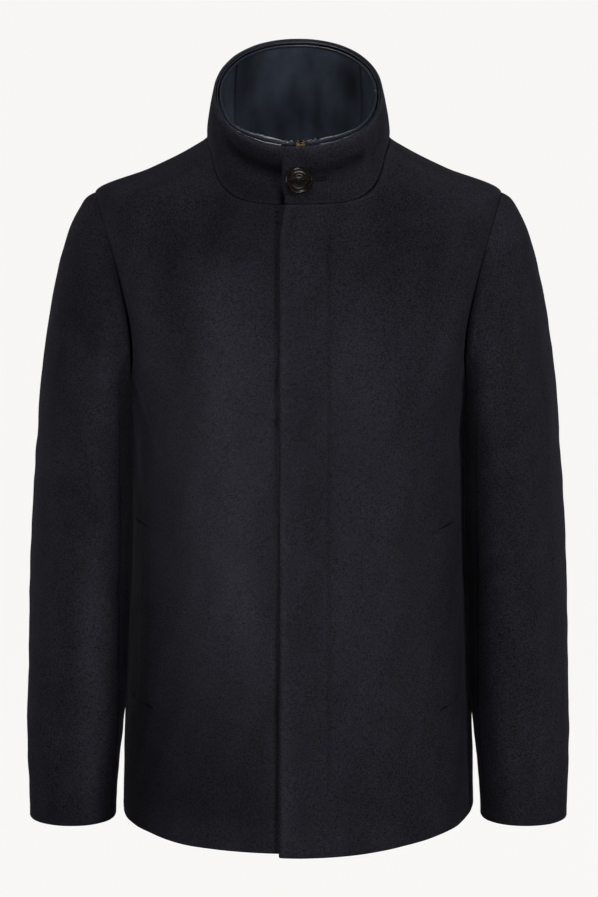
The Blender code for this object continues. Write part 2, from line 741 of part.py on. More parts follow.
def add_rim_trim(material):
    turns = turns_between(*turns_from_zip(TRIM_FROM_ZIP))
    path = rim_path(WALL + SEAM_GAP + PIPE_RADIUS, lambda turn: 0.985, turns)
    add_cord("collar_piping", *path, [(PIPE_RADIUS, PIPE_RADIUS)] * len(turns), material)
    inset = INNER_SET + LINING_WALL / 2.0
    path = rim_path(inset, binding_rise, turns)
    add_cord("collar_binding", *path, [(BINDING_HALF_WIDTH, BINDING_HALF_HEIGHT)] * len(turns), material)
    for side, word in ((1, "left"), (-1, "right")):
        parts = np.linspace(0.0, 1.0, 7)
        turns = [neck_turn(ZIP_ACROSS + side * np.interp(part, (0.0, 1.0), FOLD_FROM_ZIP)) for part in parts]
        path = rim_path(inset, lambda turn: binding_rise(turn) + FOLD_RISE[side], turns)
        swells = [0.45 + 0.55 * math.sin(math.pi * part) ** 0.5 for part in parts]
        sizes = [(FOLD_HALF_WIDTH * swell, FOLD_HALF_HEIGHT * swell) for swell in swells]
        add_cord("binding_end_" + word, *path, sizes, material)


def add_welt(name, side, material):
    """A long narrow pocket welt, made from the front panel's own points, moved out."""
    rows, columns = 12, 3
    welt = WELTS[side]
    points = np.zeros((rows + 1, columns + 1, 3))
    normals = np.zeros_like(points)
    for row, column in np.ndindex(points.shape[:2]):
        down, part = row / rows, column / columns
        height = -WELT_TOP + (WELT_TOP - WELT_BOTTOM) * down
        ends = (1.0 - down) * np.array(welt.top) + down * np.array(welt.bottom)
        angle = angle_at(ends[0] + (ends[1] - ends[0]) * part, height)
        normal = body_normal(angle, height)
        out = fold_depth(BODY_FOLDS, side * angle, height, 0.16) + 4.0 * SEAM_GAP + WELT_WALL
        points[row, column] = (body_point(angle, height) + out * normal) * (side, 1, 1)
        normals[row, column] = normal * (side, 1, 1)
    return add_grid(name, points, normals, WELT_WALL, material)


def collar_frame(across, up, out):
    """A frame on the collar's front: X across, Y up the collar, Z out of it."""
    turn = neck_turn(across)
    normal = Vector(collar_normal(turn, up))
    place = Vector(collar_point(turn, up)) + out * normal
    upward = Vector(collar_point(turn, 1.0) - collar_point(turn, 0.0))
    upward = (upward - upward.dot(normal) * normal).normalized()
    frame = Matrix((upward.cross(normal), upward, normal)).transposed().to_4x4()
    frame.translation = place
    return frame


def turned_ring(profile, sides):
    """Points and faces of a solid turned about Z, from a profile of radius and height."""
    points, faces = [], []
    for radius, height in profile:
        for step in range(sides):
            angle = 2.0 * math.pi * step / sides
            points.append((radius * math.cos(angle), radius * math.sin(angle), height))
    for row in range(len(profile) - 1):
        for step in range(sides):
            near, after = row * sides + step, row * sides + (step + 1) % sides
            faces.append((near, after, after + sides, near + sides))
    faces.append(tuple(range(sides))[::-1])
    faces.append(tuple(len(points) - sides + step for step in range(sides)))
    return points, faces


def add_button(material):
    """A four-hole horn button with a raised rim round a dished middle."""
    sides = 28
    profile = (
        (0.62 * BUTTON_RADIUS, 0.0000),
        (0.94 * BUTTON_RADIUS, 0.0008),
        (BUTTON_RADIUS, 0.0022),
        (0.95 * BUTTON_RADIUS, 0.0036),
        (0.84 * BUTTON_RADIUS, 0.0041),
        (0.72 * BUTTON_RADIUS, 0.0034),
        (0.58 * BUTTON_RADIUS, 0.0025),
        (0.40 * BUTTON_RADIUS, 0.0023),
    )
    button = add_object("collar_button", *turned_ring(profile, sides), material)
    for corner in range(4):
        angle = math.radians(45.0 + 90.0 * corner)
        hole = ((BUTTON_HOLE_RADIUS, -0.001), (BUTTON_HOLE_RADIUS, 0.006))
        cutter = add_object("button_hole_%d" % corner, *turned_ring(hole, 8), material)
        reach = BUTTON_HOLE_OFFSET
        cutter.location = (reach * math.cos(angle), reach * math.sin(angle), 0.0)
        combine(button, cutter, "DIFFERENCE")
    out = WALL + LAP_GAP + 2.0 * SEAM_GAP
    button.matrix_world = collar_frame(BUTTON_ACROSS, BUTTON_HEIGHT, out)
    return button


def combine(piece, tool, operation):
    """Cuts the tool out of a piece, or joins it on. The tool moves with the piece."""
    tool.hide_render = True
    tool.display_type = "WIRE"
    tool.parent = piece
    step = piece.modifiers.new(tool.name, "BOOLEAN")
    step.operation = operation
    step.solver = "EXACT"
    step.object = tool


def add_prism(name, outline, half_depth, order, material):
    """An outline drawn out to both sides. The order says which axes it is drawn on."""
    points, faces = [], []
    for depth in (-half_depth, half_depth):
        for first, second in outline:
            place = dict(zip(order, (first, second, depth)))
            points.append((place["x"], place["y"], place["z"]))
    count = len(outline)
    for step in range(count):
        after = (step + 1) % count
        faces.append((step, after, after + count, step + count))
    faces.append(tuple(range(count)))
    faces.append(tuple(range(count, 2 * count)))
    return add_object(name, points, faces, material)


def both_halves(half):
    return list(half) + [(-across, up) for across, up in reversed(half)]


def box_outline(half_width, low, high):
    return [(-half_width, low), (half_width, low), (half_width, high), (-half_width, high)]


def add_zip_tapes(material):
    for side, word in ((1, "left"), (-1, "right")):
        points = np.zeros((7, 3, 3))
        normals = np.zeros_like(points)
        for row, column in np.ndindex(points.shape[:2]):
            turn = neck_turn(ZIP_ACROSS + side * np.interp(column / 2.0, (0.0, 1.0), TAPE_FROM_ZIP))
            up = np.interp(row / 6.0, (0.0, 1.0), TAPE_UP)
            points[row, column] = collar_face(turn, up, ZIP_INSET - TAPE_WALL / 2.0)
            normals[row, column] = collar_normal(turn, up)
        add_grid("zip_tape_" + word, points, normals, TAPE_WALL, material)


def add_zip_slider(material):
    """Two plates on a bridge, with a bail on the neck side for the pull."""
    slider = add_prism("zip_slider", both_halves(SLIDER_OUTLINE), SLIDER_HALF_DEPTH, "xyz", material)
    below = -0.0070
    slot = box_outline(0.0060, below, SLOT_TOP)
    combine(slider, add_prism("slider_slot", slot, SLOT_HALF_DEPTH, "xyz", material), "DIFFERENCE")
    channel = box_outline(CHANNEL[0], below, SLOT_TOP)
    combine(slider, add_prism("slider_channel", channel, CHANNEL[1], "xyz", material), "DIFFERENCE")
    bail = list(BAIL_OUTER) + [(-up, out) for up, out in reversed(BAIL_OUTER)]
    bail += [(-up, out) for up, out in BAIL_INNER] + list(reversed(BAIL_INNER))
    combine(slider, add_prism("slider_bail", bail, BAIL_HALF_WIDTH, "yzx", material), "UNION")
    slider.matrix_world = collar_frame(ZIP_ACROSS, SLIDER_UP, -ZIP_INSET)
    return slider


def add_zip_pull(material):
    """A flat tab that hangs straight down from the bail, with its origin on the hinge."""
    pull = add_prism("zip_pull", both_halves(PULL_OUTLINE), PULL_HALF_WALL, "xyz", material)
    half_width, low, high = PULL_EYE
    eye = add_prism("pull_eye", box_outline(half_width, low, high), 0.002, "xyz", material)
    combine(pull, eye, "DIFFERENCE")
    frame = collar_frame(ZIP_ACROSS, SLIDER_UP, -ZIP_INSET - PULL_AXIS)
    upward = Vector((0.0, 0.0, 1.0))
    across = frame.to_3x3().col[0]
    across = (across - across.dot(upward) * upward).normalized()
    hanging = Matrix((across, upward, across.cross(upward))).transposed().to_4x4()
    hanging.translation = frame.translation
    pull.matrix_world = hanging
    return pull


def main():
    clear_scene()
    materials = make_materials()
    wool = materials["navy_wool"]
    add_front("front_left", 1, LAP_EDGE, LAP_CORNER, LEFT_DIP, wool)
    add_front("front_right", -1, -LAP_UNDER, 0.0, RIGHT_DIP, wool)
    add_back("back", wool)
    add_sleeves(materials)
    add_collar("collar", wool)
    add_inner_collar(materials)
    add_rim_trim(materials["edge_piping"])
    add_welt("pocket_welt_left", 1, wool)
    add_welt("pocket_welt_right", -1, wool)
    add_button(materials["horn"])
    add_zip_tapes(materials["zip_tape"])
    add_zip_slider(materials["brass"])
    add_zip_pull(materials["brass"])


main()
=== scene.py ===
import math

import bmesh
import bpy
import numpy as np
from mathutils import Matrix, Vector


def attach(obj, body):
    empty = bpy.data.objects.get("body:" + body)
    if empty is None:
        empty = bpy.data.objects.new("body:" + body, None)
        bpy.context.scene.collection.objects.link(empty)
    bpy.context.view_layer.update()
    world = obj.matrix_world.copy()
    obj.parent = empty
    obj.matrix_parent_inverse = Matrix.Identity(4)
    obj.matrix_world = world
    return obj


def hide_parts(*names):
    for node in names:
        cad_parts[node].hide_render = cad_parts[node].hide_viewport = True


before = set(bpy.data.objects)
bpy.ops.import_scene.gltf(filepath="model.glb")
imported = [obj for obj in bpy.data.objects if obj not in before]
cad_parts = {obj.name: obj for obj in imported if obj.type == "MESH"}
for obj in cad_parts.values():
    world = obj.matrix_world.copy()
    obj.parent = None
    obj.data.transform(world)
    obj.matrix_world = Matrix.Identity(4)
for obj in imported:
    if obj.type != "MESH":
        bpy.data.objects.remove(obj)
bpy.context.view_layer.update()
scene = bpy.context.scene
print("coat frame loaded,", len(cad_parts), "nodes")

# camera: from the front, looking a little down
photoView = {
    "distance": 4.2, "pitchDown": 12.0, "aim": (0.00075, 0.0, -0.335), "lens": 157.53, "sensor": 36.0,
    "seesTo": 200.0,
}
cameraData = bpy.data.cameras.new("photoCamera")
cameraData.lens = photoView["lens"]
cameraData.sensor_width = photoView["sensor"]
cameraData.clip_end = photoView["seesTo"]
camera = bpy.data.objects.new("photoCamera", cameraData)
scene.collection.objects.link(camera)
tilt = math.radians(photoView["pitchDown"])
away = Vector((0.0, -math.cos(tilt), math.sin(tilt))) * photoView["distance"]
camera.location = Vector(photoView["aim"]) + away
camera.rotation_euler = (math.pi / 2 - tilt, 0.0, 0.0)
scene.camera = camera

# studio: a dim soft dome, a strong softbox on the right and weaker ones round it, rim lights beside
# the sleeves, two softboxes on the back, a narrow strip on the coat's middle and two small fills inside the neck
studio = {
    "domeBelow": 0.05, "domeSide": 0.05, "domeTop": 0.06, "domeColour": "#f4f5f8",
    "domeLow": (-0.35, 0.05), "domeHigh": (0.35, 0.90),   # where the dome changes, from straight down to straight up
    "floorHeight": -1.46, "floorSize": 90.0, "wallTop": 14.0, "floorColour": "#1c1c1c", "floorShade": "#181818",
    "floorGlow": "#f7f6f4", "floorGlowStrength": 1.0,
    "softboxes": (  # name, place, aimed at, width, height, spread, watts
        ("rightSoftbox", (2.4, -1.5, 0.50), (0.0, 0.0, -0.40), 0.8, 0.8, 180.0, 46.0),
        ("leftSoftbox", (-2.4, -1.5, 0.50), (0.0, 0.0, -0.40), 0.8, 0.8, 180.0, 12.0),
        ("frontSoftbox", (0.0, -3.4, -0.60), (0.0, 0.0, -0.40), 1.2, 1.2, 180.0, 25.0),
        ("overhead", (-0.4, -0.8, 1.90), (0.0, 0.0, -0.20), 0.6, 0.6, 180.0, 18.0),
        ("rightRim", (2.6, 0.6, 0.20), (0.0, 0.0, -0.40), 0.8, 0.8, 180.0, 3.0),
        ("leftRim", (-2.6, 0.6, 0.20), (0.0, 0.0, -0.40), 0.8, 0.8, 180.0, 14.0),
        ("rightBack", (1.6, 2.9, -0.20), (0.0, 0.0, -0.40), 0.8, 0.8, 180.0, 66.0),
        ("leftBack", (-1.5, 2.9, -0.30), (0.0, 0.0, -0.40), 0.8, 0.8, 180.0, 22.0),
        ("frontStrip", (-0.07, -1.6, -0.42), (-0.07, 0.0, -0.42), 0.10, 0.45, 16.0, 0.18),
        ("neckFill", (0.0, -0.15, 0.25), (0.0, 0.06, -0.04), 0.05, 0.05, 30.0, 0.004),
        ("neckRearFill", (0.0, 0.16, 0.46), (0.0, -0.070, -0.010), 0.04, 0.04, 14.0, 0.011),
    ),
    "outOfGloss": ("rightSoftbox", "leftSoftbox", "rightBack", "leftBack"),   # the button's gloss shows the others
}


def hexToLinear(code):
    parts = [int(code[i:i + 2], 16) / 255.0 for i in (1, 3, 5)]
    return tuple(p / 12.92 if p <= 0.04045 else ((p + 0.055) / 1.055) ** 2.4 for p in parts) + (1.0,)


# adds one node; a socket's value is either a plain value or another node's output
def addNode(tree, kind, sockets=None, **settings):
    node = tree.nodes.new(kind)
    for name, value in settings.items():
        setattr(node, name, value)
    for key, value in (sockets or {}).items():
        if isinstance(value, bpy.types.NodeSocket):
            tree.links.new(value, node.inputs[key])
        else:
            node.inputs[key].default_value = value
    return node


# plain holds the values that are even all over; what varies is linked in afterwards
def newMaterial(name, plain):
    material = bpy.data.materials.new(name)
    material.use_nodes = True
    tree = material.node_tree
    shader = tree.nodes["Principled BSDF"]
    for socket, value in plain.items():
        shader.inputs[socket].default_value = value
    return material, tree, shader


# scale that gives a wave texture's bands this pitch
def bandScale(pitch, diagonal=False):
    if diagonal:
        return 2.0 * math.pi / (10.0 * pitch) / math.sqrt(2.0)
    return 2.0 * math.pi / (20.0 * pitch)


# painted light and shade: the base colour is scaled by a share kept with each point of the cloth, paler for painted
# light and darker for painted shade
def paintShadeIntoColour(tree, shader, cloth, colour):
    share = addNode(tree, "ShaderNodeSeparateXYZ", {0: cloth}).outputs["Z"]
    paintedShading = addNode(tree, "ShaderNodeMath", {0: share, 1: 1.0}, operation="ADD")
    paintedShadeMix = addNode(tree, "ShaderNodeVectorMath", {0: colour, "Scale": paintedShading.outputs[0]}, operation="SCALE")
    tree.links.new(paintedShadeMix.outputs["Vector"], shader.inputs["Base Color"])


scene.view_settings.view_transform = "Standard"
world = bpy.data.worlds.new("softDome")
world.use_nodes = True
sky = world.node_tree
lookUp = addNode(sky, "ShaderNodeSeparateXYZ", {0: addNode(sky, "ShaderNodeTexCoord").outputs["Generated"]})
fromBelow = addNode(sky, "ShaderNodeMapRange", {
    "Value": lookUp.outputs["Z"], 1: studio["domeLow"][0], 2: studio["domeLow"][1],
    3: studio["domeBelow"], 4: studio["domeSide"]})
fromSide = addNode(sky, "ShaderNodeMapRange", {
    "Value": lookUp.outputs["Z"], 1: studio["domeHigh"][0], 2: studio["domeHigh"][1],
    3: 0.0, 4: studio["domeTop"] - studio["domeSide"]})
glow = addNode(sky, "ShaderNodeMath", {
    0: fromBelow.outputs["Result"], 1: fromSide.outputs["Result"]}, operation="ADD")
dome = sky.nodes["Background"]
dome.inputs["Color"].default_value = hexToLinear(studio["domeColour"])
sky.links.new(glow.outputs[0], dome.inputs["Strength"])
scene.world = world

for name, place, aim, width, height, spread, watts in studio["softboxes"]:
    lightData = bpy.data.lights.new(name, "AREA")
    lightData.energy, lightData.spread = watts, math.radians(spread)
    lightData.shape, lightData.size, lightData.size_y = "RECTANGLE", width, height
    light = bpy.data.objects.new(name, lightData)
    light.location = place
    light.rotation_euler = (Vector(aim) - Vector(place)).to_track_quat("-Z", "Y").to_euler()
    light.visible_camera = False
    light.visible_glossy = name not in studio["outOfGloss"]
    scene.collection.objects.link(light)

# matt background paper, lit evenly: nearly white, without grain at this distance; it turns up into walls far off
paper, tree, shader = newMaterial("mattBackgroundPaper", {
    "Roughness": 1.0, "Specular IOR Level": 0.0,
    "Emission Color": hexToLinear(studio["floorGlow"]), "Emission Strength": studio["floorGlowStrength"]})
paperGrain = addNode(tree, "ShaderNodeTexNoise", {"Scale": 3.0, "Detail": 2.0})
paperMix = addNode(tree, "ShaderNodeMix", {
    0: paperGrain.outputs["Fac"], 6: hexToLinear(studio["floorColour"]), 7: hexToLinear(studio["floorShade"])},
    data_type="RGBA")
tree.links.new(paperMix.outputs[2], shader.inputs["Base Color"])
half = studio["floorSize"] / 2
floorMesh = bpy.data.meshes.new("paleFloor")
floorMesh.from_pydata([(x, y, z) for z in (studio["floorHeight"], studio["wallTop"])
                       for x, y in ((-half, -half), (half, -half), (half, half), (-half, half))],
                      [], [(0, 1, 2, 3), (0, 4, 5, 1), (1, 5, 6, 2), (2, 6, 7, 3), (3, 7, 4, 0)])
floorMesh.materials.append(paper)
floor = bpy.data.objects.new("paleFloor", floorMesh)
scene.collection.objects.link(floor)
floor.visible_diffuse = False   # the coat is lit by the dome and softboxes alone
floor.visible_glossy = False
print("camera, lights and floor set")

# wool melton, milled and raised: fibres felted over a twill, so it is matt and finely
# mottled, with a pale bloom where the nap is seen edge on
meltonLook = {
    "dark": "#100f12", "pale": "#323139", "cloud": "#18181b",
    "tuft": 0.0017,       # felted tufts are about 1 mm, drawn coarser to show
    "twill": 0.0026,      # twill lines are about 1.2 mm, drawn coarser to show
    "tuftRange": (0.30, 0.72), "twillShare": 0.15,
    "cloudWidth": 0.030, "cloudLength": 0.100, "cloudShare": 0.45, "bump": 0.45, "bumpDepth": 0.0005,
    "nap": 0.07, "napRoughness": 0.40, "napTint": "#a29fac",
}
melton, tree, shader = newMaterial("navyWoolMelton", {
    "Roughness": 0.95, "Specular IOR Level": 0.05, "Sheen Weight": meltonLook["nap"],
    "Sheen Roughness": meltonLook["napRoughness"], "Sheen Tint": hexToLinear(meltonLook["napTint"])})
cloth = addNode(tree, "ShaderNodeAttribute", attribute_name="cloth").outputs["Vector"]
spot = addNode(tree, "ShaderNodeTexCoord").outputs["Object"]
tuft = addNode(tree, "ShaderNodeTexNoise", {
    "Vector": spot, "Scale": 1.0 / meltonLook["tuft"], "Detail": 4.0, "Roughness": 0.58})
streak = addNode(tree, "ShaderNodeMapping", {
    "Vector": cloth, "Scale": (1.0 / meltonLook["cloudWidth"], 1.0 / meltonLook["cloudLength"], 0.0)})
cloud = addNode(tree, "ShaderNodeTexNoise", {"Vector": streak.outputs["Vector"], "Scale": 1.0, "Detail": 3.0})
twill = addNode(tree, "ShaderNodeTexWave", {
    "Vector": cloth, "Scale": bandScale(meltonLook["twill"], diagonal=True),
    "Distortion": 3.0, "Detail": 2.0, "Detail Scale": 2.5}, bands_direction="DIAGONAL")
tuftSpread = addNode(tree, "ShaderNodeMapRange", {
    "Value": tuft.outputs["Fac"], 1: meltonLook["tuftRange"][0], 2: meltonLook["tuftRange"][1]})
tuftMix = addNode(tree, "ShaderNodeMix", {
    0: tuftSpread.outputs["Result"], 6: hexToLinear(meltonLook["dark"]), 7: hexToLinear(meltonLook["pale"])},
    data_type="RGBA")
cloudShare = addNode(tree, "ShaderNodeMath", {
    0: cloud.outputs["Fac"], 1: meltonLook["cloudShare"]}, operation="MULTIPLY")
cloudMix = addNode(tree, "ShaderNodeMix", {
    0: cloudShare.outputs[0], 6: tuftMix.outputs[2], 7: hexToLinear(meltonLook["cloud"])}, data_type="RGBA")
paintShadeIntoColour(tree, shader, cloth, cloudMix.outputs[2])
nap = addNode(tree, "ShaderNodeMath", {
    0: twill.outputs["Fac"], 1: meltonLook["twillShare"], 2: tuft.outputs["Fac"]}, operation="MULTIPLY_ADD")
napBump = addNode(tree, "ShaderNodeBump", {
    "Height": nap.outputs[0], "Strength": meltonLook["bump"], "Distance": meltonLook["bumpDepth"]})
tree.links.new(napBump.outputs["Normal"], shader.inputs["Normal"])

# brushed cotton inside the collar, plain woven: smoother and bluer than the wool
innerLook = {
    "dark": "#1a1d24", "pale": "#3c424d", "nap": "#8fa0b8", "thread": 0.0010,   # threads are .5 mm, drawn coarser
    "weaveShare": 0.15, "weaveRange": (0.12, 1.05), "cloudWidth": 0.020, "cloudLength": 0.034,
    "bump": 0.15, "bumpDepth": 0.0003,
}
innerCotton, tree, shader = newMaterial("navyBrushedCotton", {
    "Roughness": 0.8, "Specular IOR Level": 0.06, "Sheen Weight": 0.06, "Sheen Roughness": 0.35,
    "Sheen Tint": hexToLinear(innerLook["nap"])})
cloth = addNode(tree, "ShaderNodeAttribute", attribute_name="cloth").outputs["Vector"]
warp, weft = (addNode(tree, "ShaderNodeTexWave", {
    "Vector": cloth, "Scale": bandScale(innerLook["thread"]), "Distortion": 1.2, "Detail": 1.0},
    bands_direction=way) for way in ("X", "Y"))
weave = addNode(tree, "ShaderNodeMath", {0: warp.outputs["Fac"], 1: weft.outputs["Fac"]}, operation="MULTIPLY")
streak = addNode(tree, "ShaderNodeMapping", {
    "Vector": cloth, "Scale": (1.0 / innerLook["cloudWidth"], 1.0 / innerLook["cloudLength"], 0.0)})
cloud = addNode(tree, "ShaderNodeTexNoise", {"Vector": streak.outputs["Vector"], "Scale": 1.0, "Detail": 4.0})
weaveMix = addNode(tree, "ShaderNodeMath", {
    0: weave.outputs[0], 1: innerLook["weaveShare"], 2: cloud.outputs["Fac"]}, operation="MULTIPLY_ADD")
weaveSpread = addNode(tree, "ShaderNodeMapRange", {
    "Value": weaveMix.outputs[0], 1: innerLook["weaveRange"][0], 2: innerLook["weaveRange"][1]})
innerMix = addNode(tree, "ShaderNodeMix", {
    0: weaveSpread.outputs["Result"], 6: hexToLinear(innerLook["dark"]), 7: hexToLinear(innerLook["pale"])},
    data_type="RGBA")
paintShadeIntoColour(tree, shader, cloth, innerMix.outputs[2])
weaveBump = addNode(tree, "ShaderNodeBump", {
    "Height": weave.outputs[0], "Strength": innerLook["bump"], "Distance": innerLook["bumpDepth"]})
tree.links.new(weaveBump.outputs["Normal"], shader.inputs["Normal"])

# acetate satin tape, woven in fine ribs and calendered: dark, with a soft bright glint along each roll
satinLook = {
    "dark": "#12151b", "pale": "#272d38", "rib": 0.0012,   # ribs are .4 mm, drawn coarser
    "rub": 0.006, "shine": (0.28, 0.46), "bump": 0.10, "bumpDepth": 0.0002,
}
satinTape, tree, shader = newMaterial("navySatinTape", {"IOR": 1.5, "Specular IOR Level": 0.8})
cloth = addNode(tree, "ShaderNodeAttribute", attribute_name="cloth").outputs["Vector"]
rib = addNode(tree, "ShaderNodeTexWave", {
    "Vector": cloth, "Scale": bandScale(satinLook["rib"]), "Distortion": 0.8, "Detail": 1.0}, bands_direction="X")
rub = addNode(tree, "ShaderNodeTexNoise", {"Vector": cloth, "Scale": 1.0 / satinLook["rub"], "Detail": 3.0})
satinMix = addNode(tree, "ShaderNodeMix", {
    0: rub.outputs["Fac"], 6: hexToLinear(satinLook["dark"]), 7: hexToLinear(satinLook["pale"])}, data_type="RGBA")
tree.links.new(satinMix.outputs[2], shader.inputs["Base Color"])
satinRough = addNode(tree, "ShaderNodeMapRange", {
    "Value": rub.outputs["Fac"], 3: satinLook["shine"][0], 4: satinLook["shine"][1]})
tree.links.new(satinRough.outputs["Result"], shader.inputs["Roughness"])
ribBump = addNode(tree, "ShaderNodeBump", {
    "Height": rib.outputs["Fac"], "Strength": satinLook["bump"], "Distance": satinLook["bumpDepth"]})
tree.links.new(ribBump.outputs["Normal"], shader.inputs["Normal"])

# polyester zip tape, woven in a herringbone: dull and almost black
tapeLook = {
    "dark": "#131417", "pale": "#202228", "rib": 0.0014,   # ribs are .6 mm, drawn coarser
    "bump": 0.4, "bumpDepth": 0.0003,
}
zipTape, tree, shader = newMaterial("wovenZipTape", {"Roughness": 0.7})
cloth = addNode(tree, "ShaderNodeAttribute", attribute_name="cloth").outputs["Vector"]
herring = addNode(tree, "ShaderNodeTexWave", {
    "Vector": cloth, "Scale": bandScale(tapeLook["rib"], diagonal=True), "Distortion": 0.6},
    bands_direction="DIAGONAL")
tapeMix = addNode(tree, "ShaderNodeMix", {
    0: herring.outputs["Fac"], 6: hexToLinear(tapeLook["dark"]), 7: hexToLinear(tapeLook["pale"])}, data_type="RGBA")
tree.links.new(tapeMix.outputs[2], shader.inputs["Base Color"])
tapeBump = addNode(tree, "ShaderNodeBump", {
    "Height": herring.outputs["Fac"], "Strength": tapeLook["bump"], "Distance": tapeLook["bumpDepth"]})
tree.links.new(tapeBump.outputs["Normal"], shader.inputs["Normal"])

# brass, die cast and tumbled: warm, softly bright, duller in patches
brassLook = {
    "bright": "#f0d79a", "dull": "#33270f", "patch": 0.0017, "patchRange": (0.42, 0.60), "shine": (0.42, 0.24),
    "dents": 0.6, "dentDepth": 0.0008,
}
tumbledBrass, tree, shader = newMaterial("tumbledBrass", {"Metallic": 1.0})
spot = addNode(tree, "ShaderNodeTexCoord").outputs["Object"]
patch = addNode(tree, "ShaderNodeTexNoise", {"Vector": spot, "Scale": 1.0 / brassLook["patch"], "Detail": 4.0})
patchSpread = addNode(tree, "ShaderNodeMapRange", {
    "Value": patch.outputs["Fac"], 1: brassLook["patchRange"][0], 2: brassLook["patchRange"][1]})
brassMix = addNode(tree, "ShaderNodeMix", {
    0: patchSpread.outputs["Result"], 6: hexToLinear(brassLook["dull"]), 7: hexToLinear(brassLook["bright"])},
    data_type="RGBA")
tree.links.new(brassMix.outputs[2], shader.inputs["Base Color"])
brassRough = addNode(tree, "ShaderNodeMapRange", {
    "Value": patch.outputs["Fac"], 3: brassLook["shine"][0], 4: brassLook["shine"][1]})
tree.links.new(brassRough.outputs["Result"], shader.inputs["Roughness"])
dents = addNode(tree, "ShaderNodeBump", {
    "Height": patch.outputs["Fac"], "Strength": brassLook["dents"], "Distance": brassLook["dentDepth"]})
tree.links.new(dents.outputs["Normal"], shader.inputs["Normal"])

# horn, turned and polished: nearly black brown with paler grain, glossy
hornLook = {
    "dark": "#0a0807", "pale": "#2c221a", "grain": 0.0035,
    "grainTurn": (0.3, 0.2, 0.6), "grainStretch": (0.35, 1.0, 1.0), "grainRange": (0.42, 0.78), "shine": (0.16, 0.26),
}
polishedHorn, tree, shader = newMaterial("polishedDarkHorn", {"IOR": 1.54, "Specular IOR Level": 0.3})
spot = addNode(tree, "ShaderNodeTexCoord").outputs["Object"]
stretch = addNode(tree, "ShaderNodeMapping", {
    "Vector": spot, "Rotation": hornLook["grainTurn"], "Scale": hornLook["grainStretch"]})
grain = addNode(tree, "ShaderNodeTexNoise", {
    "Vector": stretch.outputs["Vector"], "Scale": 1.0 / hornLook["grain"], "Detail": 5.0, "Distortion": 0.8})
grainSpread = addNode(tree, "ShaderNodeMapRange", {
    "Value": grain.outputs["Fac"], 1: hornLook["grainRange"][0], 2: hornLook["grainRange"][1]})
hornMix = addNode(tree, "ShaderNodeMix", {
    0: grainSpread.outputs["Result"], 6: hexToLinear(hornLook["dark"]), 7: hexToLinear(hornLook["pale"])},
    data_type="RGBA")
tree.links.new(hornMix.outputs[2], shader.inputs["Base Color"])
hornRough = addNode(tree, "ShaderNodeMapRange", {
    "Value": grain.outputs["Fac"], 3: hornLook["shine"][0], 4: hornLook["shine"][1]})
tree.links.new(hornRough.outputs["Result"], shader.inputs["Roughness"])

# sewing thread, spun polyester: dull navy with a twist of paler lines
threadLook = {"dark": "#0d0e11", "pale": "#1b1c21", "twist": 0.0009}
sewingThread, tree, shader = newMaterial("spunNavyThread", {"Roughness": 0.85, "Specular IOR Level": 0.2})
spot = addNode(tree, "ShaderNodeTexCoord").outputs["Object"]
twist = addNode(tree, "ShaderNodeTexNoise", {"Vector": spot, "Scale": 1.0 / threadLook["twist"], "Detail": 2.0})
threadMix = addNode(tree, "ShaderNodeMix", {
    0: twist.outputs["Fac"], 6: hexToLinear(threadLook["dark"]), 7: hexToLinear(threadLook["pale"])},
    data_type="RGBA")
tree.links.new(threadMix.outputs[2], shader.inputs["Base Color"])
print("cloth, brass, horn and thread finishes made")

